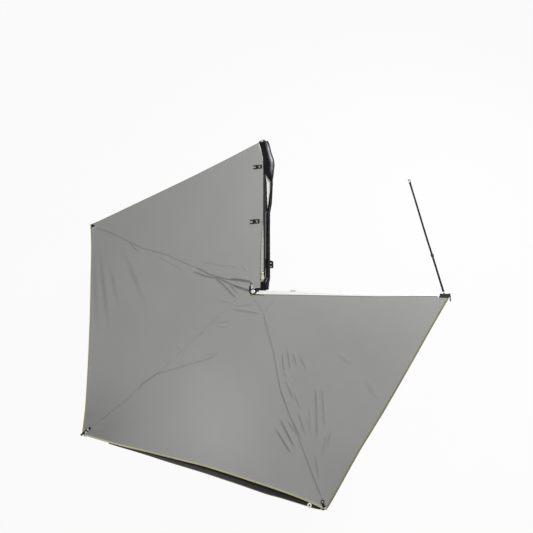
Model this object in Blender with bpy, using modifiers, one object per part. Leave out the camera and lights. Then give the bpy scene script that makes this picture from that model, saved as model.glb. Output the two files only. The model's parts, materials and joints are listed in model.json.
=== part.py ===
"""Free-standing fan awning for the side of a vehicle.

Metres, +Z up, +Y to the vehicle's front, +X to its right. The origin is the middle of the rear
bracket's foot, on the face that stands on the roof rack. Four arms turn on one upright hub pin.
The awning is modelled open. Each arm lies in a frame of its own, whose +Y runs along the arm.
"""
import math

import bmesh
import bpy
from mathutils import Matrix, Vector

# Clearance between pieces that touch or seat on each other
GAP = 0.0003

# Brackets on the roof rack
FOOT_LENGTH = 0.070
BRACKET_WIDTH = 0.080
BRACKET_HEIGHT = 0.085
BRACKET_PLATE = 0.005
GUSSET_TOP = 0.066
BRACKET_SPACING = 1.100
HUB_TO_REAR_BRACKET = 0.350
RACK_SLOT_WIDTH = 0.0085
RACK_SLOT_LENGTH = 0.030
RACK_SLOT_SPACING = 0.040

# Backing rail
RAIL_WIDTH = 0.030
RAIL_HEIGHT = 0.098
RAIL_BOTTOM = 0.012
RAIL_WALL = 0.0025
RAIL_REACH = 2.018
RAIL_REAR_CLEAR = 0.018
RAIL_CAP_LENGTH = 0.012
T_SLOT_HEIGHT = 0.033
T_SLOT_MOUTH = 0.009
T_SLOT_INSIDE = 0.017
T_SLOT_DEPTH = 0.0075

# Bead groove, in rail and arms
BEAD_RADIUS = 0.0034
BEAD_MOUTH = 0.003
BEAD_LIP = 0.0015

# Arms
ARM_TOP = 0.110
ARM_HEIGHT = 0.055
ARM_WIDTH = 0.025
ARM_WALL = 0.002
ARM_TOP_WALL = 0.0095
ARM_PITCH = 0.0275
ARM_START = 0.065
ARM_ENDS = {"a": 2.160, "b": 2.110, "c": 2.070, "d": 1.855}
ARM_SWINGS = {"a": 66.0, "b": 66.0, "c": 65.6, "d": 67.7}
ARM_TO_RAIL = 0.004

# Hub
PIN_RADIUS = 0.008
PIN_SIDES = 28
RUNNING_CLEARANCE = 0.0001
PIN_HEAD_RADIUS = 0.015
PIN_HEAD_HEIGHT = 0.0055
DISC_THICKNESS = 0.001
DISC_RADIUS = 0.0175
KNUCKLE_THICKNESS = 0.008
KNUCKLE_BOSS = 0.018
KNUCKLE_NECK = 0.024
KNUCKLE_NEAR = 0.040
KNUCKLE_FAR = 0.060
TONGUE_WIDTH = 0.018
TONGUE_END = 0.115
STACK_LIFT = 0.004
HUB_PLATE = 0.005
HUB_LOBE = 0.024
HUB_WEB = 0.0044
HUB_WEB_LENGTH = 0.040
NUT_HEIGHT = 0.010
NUT_ACROSS = 0.026

# Root blocks and cross pins
BLOCK_LENGTH = 0.055
CROSS_PIN_RADIUS = 0.0035
CROSS_PIN_AT = 0.092

# Small bolts
RAIL_BOLT_RADIUS = 0.004
RAIL_BOLT_HEAD = 0.015
RAIL_BOLT_HEAD_HEIGHT = 0.0062
RAIL_BOLT_SPACING = 0.044
RAIL_NUT_HEIGHT = 0.0065
HUB_BOLT_RADIUS = 0.003
HUB_BOLT_HEAD = 0.010
HUB_BOLT_HEAD_HEIGHT = 0.004
HUB_BOLT_SPACING = 0.020
HUB_BOLT_HEIGHT = 0.069

# End caps and rings
CAP_PLUG = 0.040
CAP_LENGTH = 0.020
SLEEVE_LENGTH = 0.095
LUG_LENGTH = 0.018
LUG_THICKNESS = 0.006
LUG_DROP = 0.030
LUG_HOLE = 0.0042
RING_RADIUS = 0.0115
RING_WIRE = 0.0016
CROSS_PIECE_LENGTH = 0.085
CROSS_PIECE_WIDTH = 0.010
CROSS_PIECE_HEIGHT = 0.008
CROSS_PIECE_BEYOND = 0.004

# Canopy
FABRIC = 0.003
RAIL_FABRIC_REACH = 1.990
CORNER_REACHES = {"a": 2.190, "b": 2.140, "c": 2.100, "d": 1.940}
FABRIC_START = 0.068
RAIL_FABRIC_START = 0.030
EDGE_BOWS = (0.010, 0.030, 0.085, 0.010)
PANEL_SAG = 0.018
PANEL_HEM = 0.020
PANEL_ACROSS = 14
PANEL_ALONG = 8
VALANCE_DROP = 0.004
VALANCE_FROM = 0.06

# Bag cover, whose stations are measured forward of the hub
BAG_CLEAR = 0.004
BAG_HEIGHT = 0.022
# Distance ahead of the hub pin, where the bag lies, and its width there.
BAG_STATIONS = (
    (0.022, "on_rail", 0.062),
    (0.080, "on_rail", 0.066),
    (0.120, "raised", 0.044),
    (0.160, "beside", 0.044),
    (0.700, "beside", 0.044),
    (1.290, "beside", 0.048),
    (1.380, "raised", 0.076),
    (1.490, "on_rail", 0.122),
    (1.600, "on_rail", 0.130),
    (1.700, "on_rail", 0.126),
    (1.820, "on_rail", 0.100),
    (1.960, "on_rail", 0.074),
    (2.004, "on_rail", 0.060),
)

# Closing straps on the canopy
# Each buckle's distance ahead of the hub pin, and how far its tab has slid from the rail.
BUCKLE_PLACES = {"rear": (0.850, 0.025), "front": (1.614, 0.0)}
BUCKLE_BODY = 0.057
BUCKLE_WIDTH = 0.052
BUCKLE_THICKNESS = 0.006
BUCKLE_BAR = 0.013
BUCKLE_BAR_WIDTH = 0.058
PRONG_LENGTH = 0.037
PRONG_WIDTH = 0.010
TAB_WIDTH = 0.039
TAB_LENGTH = 0.050
TAB_THICKNESS = 0.0015

# Retention strap, measured from the eye on the fourth arm's end cap
EYE_FROM_END = 0.045
EYE_REACH = 0.010
EYE_RADIUS = 0.0085
EYE_HOLE = 0.0042
EYE_THICKNESS = 0.006
LINK_RADIUS = 0.0115
LINK_WIRE = 0.0016
STRAP_HEADING = 100.5
STRAP_FALL = 0.028
STRAP_LENGTH = 1.340
STRAP_WIDTH = 0.020
STRAP_THICKNESS = 0.002
ADJUSTER_AT = 0.393
ADJUSTER_LENGTH = 0.030
ADJUSTER_WIDTH = 0.029
ADJUSTER_HEIGHT = 0.010
HOOK_LENGTH = 0.060
HOOK_WIDTH = 0.024
HOOK_THICKNESS = 0.004

ARMS = ("a", "b", "c", "d")

# Places that follow from the sizes
LEG_OUTER = -FOOT_LENGTH / 2 - BRACKET_PLATE
RAIL_BACK = LEG_OUTER - GAP
RAIL_FACE = RAIL_BACK - RAIL_WIDTH
RAIL_TOP = RAIL_BOTTOM + RAIL_HEIGHT
GROOVE_IN = RAIL_WALL + BEAD_RADIUS
RAIL_OFFSET = 3 * ARM_PITCH + ARM_WIDTH / 2 + ARM_TO_RAIL
HUB_X = RAIL_FACE - RAIL_OFFSET
HUB_Y = -HUB_TO_REAR_BRACKET
ARM_BOTTOM = ARM_TOP - ARM_HEIGHT
LEVEL_PITCH = KNUCKLE_THICKNESS + DISC_THICKNESS + 2 * GAP
STACK_BOTTOM = ARM_BOTTOM + STACK_LIFT
STACK_TOP = STACK_BOTTOM + 4 * LEVEL_PITCH + DISC_THICKNESS
PIN_HOLE = (PIN_RADIUS + RUNNING_CLEARANCE) / math.cos(math.pi / PIN_SIDES)
BRACKET_PLACES = {"rear": 0.0, "front": BRACKET_SPACING}


def level_bottom(arm):
    """Underside of an arm's knuckle plate: the fourth arm's lies lowest."""
    return STACK_BOTTOM + DISC_THICKNESS + GAP + (3 - ARMS.index(arm)) * LEVEL_PITCH


def arm_offset(arm):
    """Distance from the hub pin sideways to an arm's middle line."""
    return (3 - ARMS.index(arm)) * ARM_PITCH


def groove_offset(arm):
    """Distance sideways to an arm's bead groove: the canopy ends at the last arm's inner edge."""
    if arm == ARMS[-1]:
        return arm_offset(arm) + ARM_WIDTH / 2 - ARM_WALL - BEAD_RADIUS
    return arm_offset(arm)


# Collections, materials and empties


def clear_scene():
    for thing in list(bpy.data.objects):
        bpy.data.objects.remove(thing)


def new_collection(name):
    made = bpy.data.collections.new(name)
    bpy.context.scene.collection.children.link(made)
    return made


def make_material(name, colour, roughness, metallic=0.0):
    made = bpy.data.materials.new(name)
    made.use_nodes = True
    shader = made.node_tree.nodes["Principled BSDF"]
    shader.inputs["Base Color"].default_value = (*colour, 1.0)
    shader.inputs["Roughness"].default_value = roughness
    shader.inputs["Metallic"].default_value = metallic
    return made


clear_scene()
PARTS = new_collection("vehicle_side_awning")
CUTTERS = new_collection("cutters")

ALUMINIUM = make_material("mill_aluminium", (0.80, 0.81, 0.82), 0.32, 1.0)
BLACK_ALUMINIUM = make_material("black_coated_aluminium", (0.03, 0.03, 0.032), 0.45, 0.2)
STEEL = make_material("zinc_steel", (0.62, 0.63, 0.64), 0.38, 1.0)
BLACK_STEEL = make_material("black_coated_steel", (0.02, 0.02, 0.022), 0.45, 0.2)
BLACK_PLASTIC = make_material("black_plastic", (0.018, 0.018, 0.018), 0.5)
NYLON = make_material("white_nylon", (0.75, 0.74, 0.70), 0.5)
CANVAS = make_material("grey_canvas", (0.30, 0.30, 0.285), 0.85)
COATED_CLOTH = make_material("black_coated_cloth", (0.02, 0.02, 0.022), 0.35)
WEBBING = make_material("black_webbing", (0.015, 0.015, 0.015), 0.8)


def make_empty(name, location, turn=0.0, parent=None):
    made = bpy.data.objects.new(name, None)
    made.location = location
    made.rotation_euler = (0.0, 0.0, math.radians(turn))
    made.parent = parent
    PARTS.objects.link(made)
    return made


def make_pivots():
    """One empty on the hub pin for each arm, each turned from the one before it."""
    pivots = {}
    carrier = make_empty("hub_axis", (HUB_X, HUB_Y, 0.0))
    pivots["root"] = carrier
    for arm in ARMS:
        carrier = make_empty(f"arm_{arm}_pivot", (0.0, 0.0, 0.0), ARM_SWINGS[arm], carrier)
        pivots[arm] = carrier
    return pivots


# Meshes


def mesh_from(name, bm):
    mesh = bpy.data.meshes.new(name)
    bm.to_mesh(mesh)
    bm.free()
    return mesh


def outline_solid(name, loops, depth):
    """A flat outline with its holes, as a solid from z = 0 up to depth."""
    curve = bpy.data.curves.new(name, "CURVE")
    curve.dimensions = "2D"
    curve.fill_mode = "BOTH"
    curve.extrude = depth / 2
    for loop in loops:
        spline = curve.splines.new("POLY")
        spline.points.add(len(loop) - 1)
        for point, (u, v) in zip(spline.points, loop):
            point.co = (u, v, 0.0, 1.0)
        spline.use_cyclic_u = True
    holder = bpy.data.objects.new(name, curve)
    PARTS.objects.link(holder)
    graph = bpy.context.evaluated_depsgraph_get()
    flat = bpy.data.meshes.new_from_object(holder.evaluated_get(graph))
    bpy.data.objects.remove(holder)
    bpy.data.curves.remove(curve)
    bm = bmesh.new()
    bm.from_mesh(flat)
    bpy.data.meshes.remove(flat)
    bmesh.ops.translate(bm, verts=bm.verts, vec=(0.0, 0.0, depth / 2))
    bmesh.ops.remove_doubles(bm, verts=bm.verts, dist=1e-6)
    return mesh_from(name, bm)


def box_mesh(name, low, high):
    bm = bmesh.new()
    bmesh.ops.create_cube(bm, size=1.0)
    low, high = Vector(low), Vector(high)
    size = high - low
    bmesh.ops.scale(bm, verts=bm.verts, vec=size)
    bmesh.ops.translate(bm, verts=bm.verts, vec=(low + high) / 2)
    return mesh_from(name, bm)


def rod_mesh(name, radius, length, sides=24):
    """A rod from z = 0 up to its length."""
    bm = bmesh.new()
    bmesh.ops.create_cone(
        bm, cap_ends=True, segments=sides, radius1=radius, radius2=radius, depth=length
    )
    bmesh.ops.translate(bm, verts=bm.verts, vec=(0.0, 0.0, length / 2))
    return mesh_from(name, bm)


def ring_mesh(name, radius, wire, around=20, across=8):
    """A wire ring in the XY plane: a circle of vertices spun round Z."""
    bm = bmesh.new()
    circle = bmesh.ops.create_circle(bm, segments=across, radius=wire)["verts"]
    turn = Matrix.Translation((radius, 0.0, 0.0)) @ Matrix.Rotation(math.pi / 2, 4, "X")
    bmesh.ops.transform(bm, verts=circle, matrix=turn)
    bmesh.ops.spin(
        bm,
        geom=bm.verts[:] + bm.edges[:],
        cent=(0.0, 0.0, 0.0),
        axis=(0.0, 0.0, 1.0),
        angle=2 * math.pi,
        steps=around,
        use_merge=True,
    )
    bmesh.ops.remove_doubles(bm, verts=bm.verts, dist=1e-6)
    bmesh.ops.recalc_face_normals(bm, faces=bm.faces)
    return mesh_from(name, bm)


# Turns that lay a solid made along Z along another axis
LAID_ALONG_Y = Matrix.Rotation(math.pi / 2, 4, "X")
LAID_ALONG_X = Matrix(((0, 0, 1, 0), (1, 0, 0, 0), (0, 1, 0, 0), (0, 0, 0, 1)))


def at(x, y, z):
    return Matrix.Translation((x, y, z))


def place(name, mesh, material, matrix=None, parent=None, round_piece=False):
    made = bpy.data.objects.new(name, mesh)
    mesh.materials.clear()
    mesh.materials.append(material)
    PARTS.objects.link(made)
    made.parent = parent
    made.matrix_local = matrix or Matrix.Identity(4)
    if round_piece:
        mesh.shade_smooth()
        mesh.set_sharp_from_angle(angle=math.radians(35))
    return made


def combine(target, name, mesh, matrix=None, operation="DIFFERENCE"):
    """Cuts a mesh out of a piece, or joins it on, with a Boolean modifier."""
    tool = bpy.data.objects.new(name, mesh)
    CUTTERS.objects.link(tool)
    tool.parent = target.parent
    tool.matrix_local = matrix or Matrix.Identity(4)
    tool.hide_render = True
    tool.display_type = "WIRE"
    modifier = target.modifiers.new(name, "BOOLEAN")
    modifier.object = tool
    modifier.operation = operation
    modifier.solver = "EXACT"
    return tool


def round_edges(target, width, segments=2):
    modifier = target.modifiers.new("edges", "BEVEL")
    modifier.width = width
    modifier.segments = segments
    modifier.limit_method = "ANGLE"
    modifier.angle_limit = math.radians(40)


# Outlines


def arc(cx, cy, radius, start, end, steps):
    """Points along an arc, from start to end in degrees, both ends included."""
    turns = [math.radians(start + (end - start) * i / steps) for i in range(steps + 1)]
    return [(cx + radius * math.cos(t), cy + radius * math.sin(t)) for t in turns]


def circle(cx, cy, radius, sides=24):
    return arc(cx, cy, radius, 0.0, 360.0 * (sides - 1) / sides, sides - 1)


def rectangle(x0, y0, x1, y1):
    return [(x0, y0), (x1, y0), (x1, y1), (x0, y1)]


def rounded(points, radius, steps=3):
    """The outline with each corner rounded by an arc."""
    out = []
    count = len(points)
    for i, corner in enumerate(points):
        here = Vector(corner)
        back = (Vector(points[i - 1]) - here).normalized()
        ahead = (Vector(points[(i + 1) % count]) - here).normalized()
        half = back.angle(ahead) / 2
        reach = radius / math.tan(half)
        middle = here + (back + ahead).normalized() * radius / math.sin(half)
        first = here + back * reach - middle
        last = here + ahead * reach - middle
        sweep = first.angle_signed(last)
        for step in range(steps + 1):
            turn = Matrix.Rotation(-sweep * step / steps, 2)
            out.append(tuple(middle + turn @ first))
    return out


def stadium(cx, cy, length, width, steps=6):
    """A slot with round ends, lying along x."""
    r = width / 2
    half = length / 2 - r
    return arc(cx + half, cy, r, -90, 90, steps) + arc(cx - half, cy, r, 90, 270, steps)


def hexagon(across):
    return circle(0.0, 0.0, across / math.sqrt(3), 6)


def bead_groove(cx, top):
    """The groove's outline, from its mouth's +x side down round to the -x side."""
    half = BEAD_MOUTH / 2
    swing = math.degrees(math.asin(half / BEAD_RADIUS))
    cy = top - BEAD_LIP - BEAD_RADIUS * math.cos(math.radians(swing))
    bowl = arc(cx, cy, BEAD_RADIUS, 90 - swing, -270 + swing, 10)
    return [(cx + half, top), *bowl, (cx - half, top)]


# Brackets, rail and their bolts


def build_bracket(name, y):
    """An L of plate with a gusset at each side, slotted for the roof rack."""
    toe = FOOT_LENGTH / 2
    outline = [
        (LEG_OUTER, 0.0),
        (toe, 0.0),
        (toe, BRACKET_PLATE),
        (-toe + BRACKET_PLATE, GUSSET_TOP),
        (-toe, BRACKET_HEIGHT),
        (LEG_OUTER, BRACKET_HEIGHT),
    ]
    mesh = outline_solid(name, [outline], BRACKET_WIDTH)
    bracket = place(name, mesh, BLACK_STEEL, at(0, y + BRACKET_WIDTH / 2, 0) @ LAID_ALONG_Y)
    inside = BRACKET_WIDTH / 2 - BRACKET_PLATE
    beyond = 2 * FOOT_LENGTH
    pocket = box_mesh(
        f"{name}_pocket",
        (-toe, y - inside, BRACKET_PLATE),
        (beyond, y + inside, 2 * BRACKET_HEIGHT),
    )
    combine(bracket, f"{name}_pocket", pocket)
    for side in (-1, 1):
        slot = stadium(0.0, y + side * RACK_SLOT_SPACING / 2, RACK_SLOT_LENGTH, RACK_SLOT_WIDTH)
        tool = outline_solid(f"{name}_slot", [slot], 3 * BRACKET_PLATE)
        combine(bracket, f"{name}_slot_{side}", tool, at(0, 0, -BRACKET_PLATE))
        hole = rod_mesh(f"{name}_hole", RAIL_BOLT_RADIUS + GAP, 3 * BRACKET_PLATE)
        where = at(LEG_OUTER - BRACKET_PLATE, y + side * RAIL_BOLT_SPACING / 2, slot_middle())
        combine(bracket, f"{name}_hole_{side}", hole, where @ LAID_ALONG_X)
    return bracket


def slot_middle():
    """Height of the T-slot's middle line, where the bracket bolts sit."""
    return RAIL_BOTTOM + T_SLOT_HEIGHT


def rail_outline():
    """The rail's section as (x, z): bead grooves on top, T-slot in the back."""
    back, face = RAIL_BACK, RAIL_FACE
    mouth, inside = T_SLOT_MOUTH / 2, T_SLOT_INSIDE / 2
    middle = slot_middle()
    near = back - RAIL_WALL
    deep = near - T_SLOT_DEPTH
    slot = [
        (back, middle - mouth),
        (near, middle - mouth),
        (near, middle - inside),
        (deep, middle - inside),
        (deep, middle + inside),
        (near, middle + inside),
        (near, middle + mouth),
        (back, middle + mouth),
    ]
    return [
        (face, RAIL_BOTTOM),
        (back, RAIL_BOTTOM),
        *slot,
        (back, RAIL_TOP),
        *bead_groove(back - GROOVE_IN, RAIL_TOP),
        *bead_groove(face + GROOVE_IN, RAIL_TOP),
        (face, RAIL_TOP),
    ]


def rail_chambers():
    """The rail's hollows: one along the outer wall, one above and one below the T-slot."""
    low = RAIL_BOTTOM + RAIL_WALL
    high = RAIL_TOP - BEAD_LIP - 2 * BEAD_RADIUS - RAIL_WALL
    web = RAIL_BACK - 2 * RAIL_WALL - T_SLOT_DEPTH
    middle = slot_middle()
    reach = T_SLOT_INSIDE / 2 + RAIL_WALL
    back = RAIL_BACK - RAIL_WALL
    return [
        rectangle(RAIL_FACE + RAIL_WALL, low, web, high),
        rectangle(web + RAIL_WALL, low, back, middle - reach),
        rectangle(web + RAIL_WALL, middle + reach, back, high - RAIL_WALL / 2),
    ]


def build_rail():
    front = HUB_Y + RAIL_REACH
    length = RAIL_REACH - RAIL_REAR_CLEAR
    mesh = outline_solid("backing_rail", [rail_outline(), *rail_chambers()], length)
    rail = place("backing_rail", mesh, BLACK_ALUMINIUM, at(0, front, 0) @ LAID_ALONG_Y)
    for side in (-1, 1):
        hole = rod_mesh("rail_hole", HUB_BOLT_RADIUS + GAP, 4 * RAIL_WALL)
        where = at(RAIL_FACE - 2 * RAIL_WALL, hub_bolt_y(side), HUB_BOLT_HEIGHT)
        combine(rail, f"rail_hole_{side}", hole, where @ LAID_ALONG_X)
    outer = rounded(rectangle(RAIL_FACE, RAIL_BOTTOM, RAIL_BACK, RAIL_TOP), 0.003)
    cap = outline_solid("rail_front_cap", [outer], RAIL_CAP_LENGTH)
    where = at(0, front + GAP + RAIL_CAP_LENGTH, 0) @ LAID_ALONG_Y
    place("rail_front_cap", cap, ALUMINIUM, where)


def build_bolt(name, across, head_height, radius, length, where, parent=None):
    """A hexagon head below z = 0 and a shank up to its length, as one body."""
    head = outline_solid(name, [hexagon(across)], head_height)
    bolt = place(name, head, STEEL, where @ at(0, 0, -head_height), parent)
    shank = rod_mesh(f"{name}_shank", radius, length + head_height / 2, 20)
    combine(bolt, f"{name}_shank", shank, where @ at(0, 0, -head_height / 2), "UNION")
    return bolt


def build_rail_bolts():
    """T-slot bolts with their heads in the rail, and nuts inside the brackets."""
    near = RAIL_BACK - RAIL_WALL - GAP
    reach = RAIL_WALL + 2 * GAP + BRACKET_PLATE + RAIL_NUT_HEIGHT + 0.004
    for end, y in BRACKET_PLACES.items():
        for side, word in ((-1, "1"), (1, "2")):
            line_y = y + side * RAIL_BOLT_SPACING / 2
            where = at(near, line_y, slot_middle()) @ LAID_ALONG_X
            build_bolt(
                f"{end}_bracket_bolt_{word}",
                RAIL_BOLT_HEAD,
                RAIL_BOLT_HEAD_HEIGHT,
                RAIL_BOLT_RADIUS,
                reach,
                where,
            )
            loops = [hexagon(0.013), circle(0, 0, RAIL_BOLT_RADIUS + GAP, 20)]
            nut = outline_solid(f"{end}_bracket_nut_{word}", loops, RAIL_NUT_HEIGHT)
            where = at(-FOOT_LENGTH / 2 + GAP, line_y, slot_middle()) @ LAID_ALONG_X
            place(f"{end}_bracket_nut_{word}", nut, STEEL, where)


# Hub


def hub_web_span():
    """The hub bracket's web along Y, measured from the pin."""
    return RAIL_REAR_CLEAR, RAIL_REAR_CLEAR + HUB_WEB_LENGTH


def hub_bolt_y(side):
    near, far = hub_web_span()
    return HUB_Y + (near + far) / 2 + side * HUB_BOLT_SPACING / 2


def build_hub_bracket(hub):
    """Two plates joined by a web on the rail. The plates keep clear of the tubes' mouths."""
    near, far = hub_web_span()
    wall = RAIL_OFFSET - GAP
    lobe = arc(0, 0, HUB_LOBE, 80, 300, 14)
    outline = [*lobe, (0.045, 0.008), (0.060, near), (wall, near), (wall, far), (0.036, 0.048)]
    low = STACK_BOTTOM - GAP - HUB_PLATE
    height = STACK_TOP + GAP + HUB_PLATE - low
    mesh = outline_solid("hub_bracket", [outline, circle(0, 0, PIN_HOLE, PIN_SIDES)], height)
    bracket = place("hub_bracket", mesh, BLACK_STEEL, at(0, 0, low), hub)
    inside = box_mesh(
        "hub_gap",
        (-2 * HUB_LOBE, -2 * HUB_LOBE, low + HUB_PLATE),
        (wall - HUB_WEB, far + HUB_LOBE, low + height - HUB_PLATE),
    )
    combine(bracket, "hub_gap", inside)
    for side in (-1, 1):
        hole = rod_mesh("web_hole", HUB_BOLT_RADIUS + GAP, 3 * HUB_WEB)
        where = at(wall - 2 * HUB_WEB, hub_bolt_y(side) - HUB_Y, HUB_BOLT_HEIGHT)
        combine(bracket, f"web_hole_{side}", hole, where @ LAID_ALONG_X)
    return bracket


def build_hub_bolts(hub):
    face = RAIL_OFFSET - 2 * GAP - HUB_WEB
    length = HUB_WEB + 2 * GAP + RAIL_WALL + 0.004
    for side, word in ((-1, "1"), (1, "2")):
        where = at(face, hub_bolt_y(side) - HUB_Y, HUB_BOLT_HEIGHT) @ LAID_ALONG_X
        build_bolt(
            f"hub_bolt_{word}",
            HUB_BOLT_HEAD,
            HUB_BOLT_HEAD_HEIGHT,
            HUB_BOLT_RADIUS,
            length,
            where,
            hub,
        )


def turned(name, profile, material, matrix, parent, steps=PIN_SIDES):
    """A solid turned from a profile that runs down its outer side, top to bottom."""
    mesh = bpy.data.meshes.new(name)
    points = [(r, 0.0, z) for r, z in profile]
    edges = [(i, i + 1) for i in range(len(points) - 1)]
    mesh.from_pydata(points, edges, [])
    made = place(name, mesh, material, matrix, parent)
    screw = made.modifiers.new("turn", "SCREW")
    screw.steps = steps
    screw.render_steps = steps
    screw.use_merge_vertices = True
    screw.merge_threshold = 0.00001
    screw.use_smooth_shade = False
    return made


def build_pin(hub):
    """Hub pin with a domed head, its nut and the discs between the plates."""
    seat = STACK_TOP + 2 * GAP + HUB_PLATE
    top = seat + PIN_HEAD_HEIGHT
    low = STACK_BOTTOM - 2 * GAP - HUB_PLATE
    end = low - NUT_HEIGHT - 0.005
    dome = PIN_HEAD_HEIGHT * 0.45
    profile = [
        (0.0, top),
        (PIN_HEAD_RADIUS * 0.55, top - 0.15 * dome),
        (PIN_HEAD_RADIUS * 0.85, top - 0.55 * dome),
        (PIN_HEAD_RADIUS, top - dome),
        (PIN_HEAD_RADIUS, seat),
        (PIN_RADIUS, seat),
        (PIN_RADIUS, end + 0.001),
        (PIN_RADIUS - 0.001, end),
        (0.0, end),
    ]
    turned("hub_pin", profile, STEEL, at(0, 0, 0), hub)
    nut = outline_solid("hub_nut", [hexagon(NUT_ACROSS), circle(0, 0, PIN_HOLE, PIN_SIDES)], NUT_HEIGHT)
    place("hub_nut", nut, STEEL, at(0, 0, low - NUT_HEIGHT), hub)
    for count in range(len(ARMS) + 1):
        loops = [circle(0, 0, DISC_RADIUS, PIN_SIDES), circle(0, 0, PIN_HOLE, PIN_SIDES)]
        disc = outline_solid(f"bearing_disc_{count + 1}", loops, DISC_THICKNESS)
        z = STACK_BOTTOM + count * LEVEL_PITCH
        place(f"bearing_disc_{count + 1}", disc, NYLON, at(0, 0, z), hub)


# Arms


def knuckle_outline(offset):
    """Boss round the pin, an arm leaning out to the tube's line and a tongue along it."""
    half = TONGUE_WIDTH / 2
    neck = KNUCKLE_NECK / 2
    spread = math.degrees(math.acos(neck / KNUCKLE_BOSS))
    lean = math.degrees(math.atan2(offset, (KNUCKLE_NEAR + KNUCKLE_FAR) / 2))
    boss = arc(0, 0, KNUCKLE_BOSS, 180 - spread - lean, 360 + spread - lean, 18)
    tongue = [
        (offset + half, KNUCKLE_NEAR if offset > neck else KNUCKLE_FAR),
        (offset + half, TONGUE_END),
        (offset - half, TONGUE_END),
        (offset - half, KNUCKLE_FAR),
    ]
    return boss + tongue


def cross_pin_hole(target, name, offset, z):
    hole = rod_mesh(name, CROSS_PIN_RADIUS + GAP, 2 * ARM_WIDTH, 20)
    where = at(offset - ARM_WIDTH, CROSS_PIN_AT, z) @ LAID_ALONG_X
    combine(target, name, hole, where)


def tube_loops(offset, groove):
    """The arm's section as (x, z), with its bead groove and its hollow."""
    half = ARM_WIDTH / 2
    outer = [
        (offset - half, ARM_BOTTOM),
        (offset + half, ARM_BOTTOM),
        (offset + half, ARM_TOP),
        *bead_groove(groove, ARM_TOP),
        (offset - half, ARM_TOP),
    ]
    hollow = rectangle(
        offset - half + ARM_WALL,
        ARM_BOTTOM + ARM_WALL,
        offset + half - ARM_WALL,
        ARM_TOP - ARM_TOP_WALL,
    )
    return [outer, hollow]


def build_arm(arm, pivot):
    offset = arm_offset(arm)
    end = ARM_ENDS[arm]
    low = level_bottom(arm)
    middle = low + KNUCKLE_THICKNESS / 2
    loops = [knuckle_outline(offset), circle(0, 0, PIN_HOLE, PIN_SIDES)]
    mesh = outline_solid(f"arm_{arm}_knuckle", loops, KNUCKLE_THICKNESS)
    knuckle = place(f"arm_{arm}_knuckle", mesh, ALUMINIUM, at(0, 0, low), pivot)
    cross_pin_hole(knuckle, f"arm_{arm}_knuckle_hole", offset, middle)

    mesh = outline_solid(
        f"arm_{arm}_tube", tube_loops(offset, groove_offset(arm)), end - ARM_START
    )
    tube = place(f"arm_{arm}_tube", mesh, ALUMINIUM, at(0, end, 0) @ LAID_ALONG_Y, pivot)
    cross_pin_hole(tube, f"arm_{arm}_tube_hole", offset, middle)

    wide = ARM_WIDTH / 2 - ARM_WALL - GAP
    base, top = ARM_BOTTOM + ARM_WALL + GAP, ARM_TOP - ARM_TOP_WALL - GAP
    mesh = box_mesh(
        f"arm_{arm}_root_block",
        (offset - wide, ARM_START + GAP, base),
        (offset + wide, ARM_START + BLOCK_LENGTH, top),
    )
    block = place(f"arm_{arm}_root_block", mesh, BLACK_PLASTIC, None, pivot)
    half = TONGUE_WIDTH / 2 + GAP
    slot = box_mesh(
        f"arm_{arm}_tongue_slot",
        (offset - half, ARM_START - GAP, low - GAP),
        (offset + half, TONGUE_END + GAP, low + KNUCKLE_THICKNESS + GAP),
    )
    combine(block, f"arm_{arm}_tongue_slot", slot)
    cross_pin_hole(block, f"arm_{arm}_block_hole", offset, middle)

    pin = rod_mesh(f"arm_{arm}_cross_pin", CROSS_PIN_RADIUS, ARM_WIDTH, 20)
    where = at(offset - ARM_WIDTH / 2, CROSS_PIN_AT, middle) @ LAID_ALONG_X
    place(f"arm_{arm}_cross_pin", pin, STEEL, where, pivot, True)


def lug_hole_height():
    return ARM_BOTTOM + LUG_DROP * 0.45


def build_cap(arm, pivot):
    """End cap: a plug in the tube, a body flush with it and a lug for the ring."""
    offset = arm_offset(arm)
    end = ARM_ENDS[arm] + GAP
    length = SLEEVE_LENGTH if arm == "d" else CAP_LENGTH
    name = f"arm_{arm}_end_cap"
    half = ARM_WIDTH / 2
    body = box_mesh(name, (offset - half, end, ARM_BOTTOM), (offset + half, end + length, ARM_TOP))
    cap = place(name, body, BLACK_PLASTIC, None, pivot)
    round_edges(cap, 0.002)
    wide = half - ARM_WALL - GAP
    plug = box_mesh(
        f"{name}_plug",
        (offset - wide, end - CAP_PLUG, ARM_BOTTOM + ARM_WALL + GAP),
        (offset + wide, end + length / 2, ARM_TOP - ARM_TOP_WALL - GAP),
    )
    combine(cap, f"{name}_plug", plug, None, "UNION")
    start = end + length - 0.004
    stop = end + length + LUG_LENGTH
    hole_y = stop - LUG_LENGTH / 2
    outline = rounded(rectangle(start, ARM_BOTTOM + 0.002, stop, ARM_BOTTOM + LUG_DROP), 0.003)
    loops = [outline, circle(hole_y, lug_hole_height(), LUG_HOLE, 16)]
    lug = outline_solid(f"{name}_lug", loops, LUG_THICKNESS)
    where = at(offset - LUG_THICKNESS / 2, 0, 0) @ LAID_ALONG_X
    combine(cap, f"{name}_lug", lug, where, "UNION")
    if arm == "d":
        add_cross_piece(cap, name, stop)
        add_strap_eye(cap, name, end + length - EYE_FROM_END)
    ring = ring_mesh(f"arm_{arm}_ring", RING_RADIUS, RING_WIRE)
    where = at(offset, hole_y, lug_hole_height() - RING_RADIUS)
    turn = Matrix.Rotation(math.pi / 2, 4, "X")
    place(f"arm_{arm}_ring", ring, STEEL, where @ turn, pivot, True)


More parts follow.
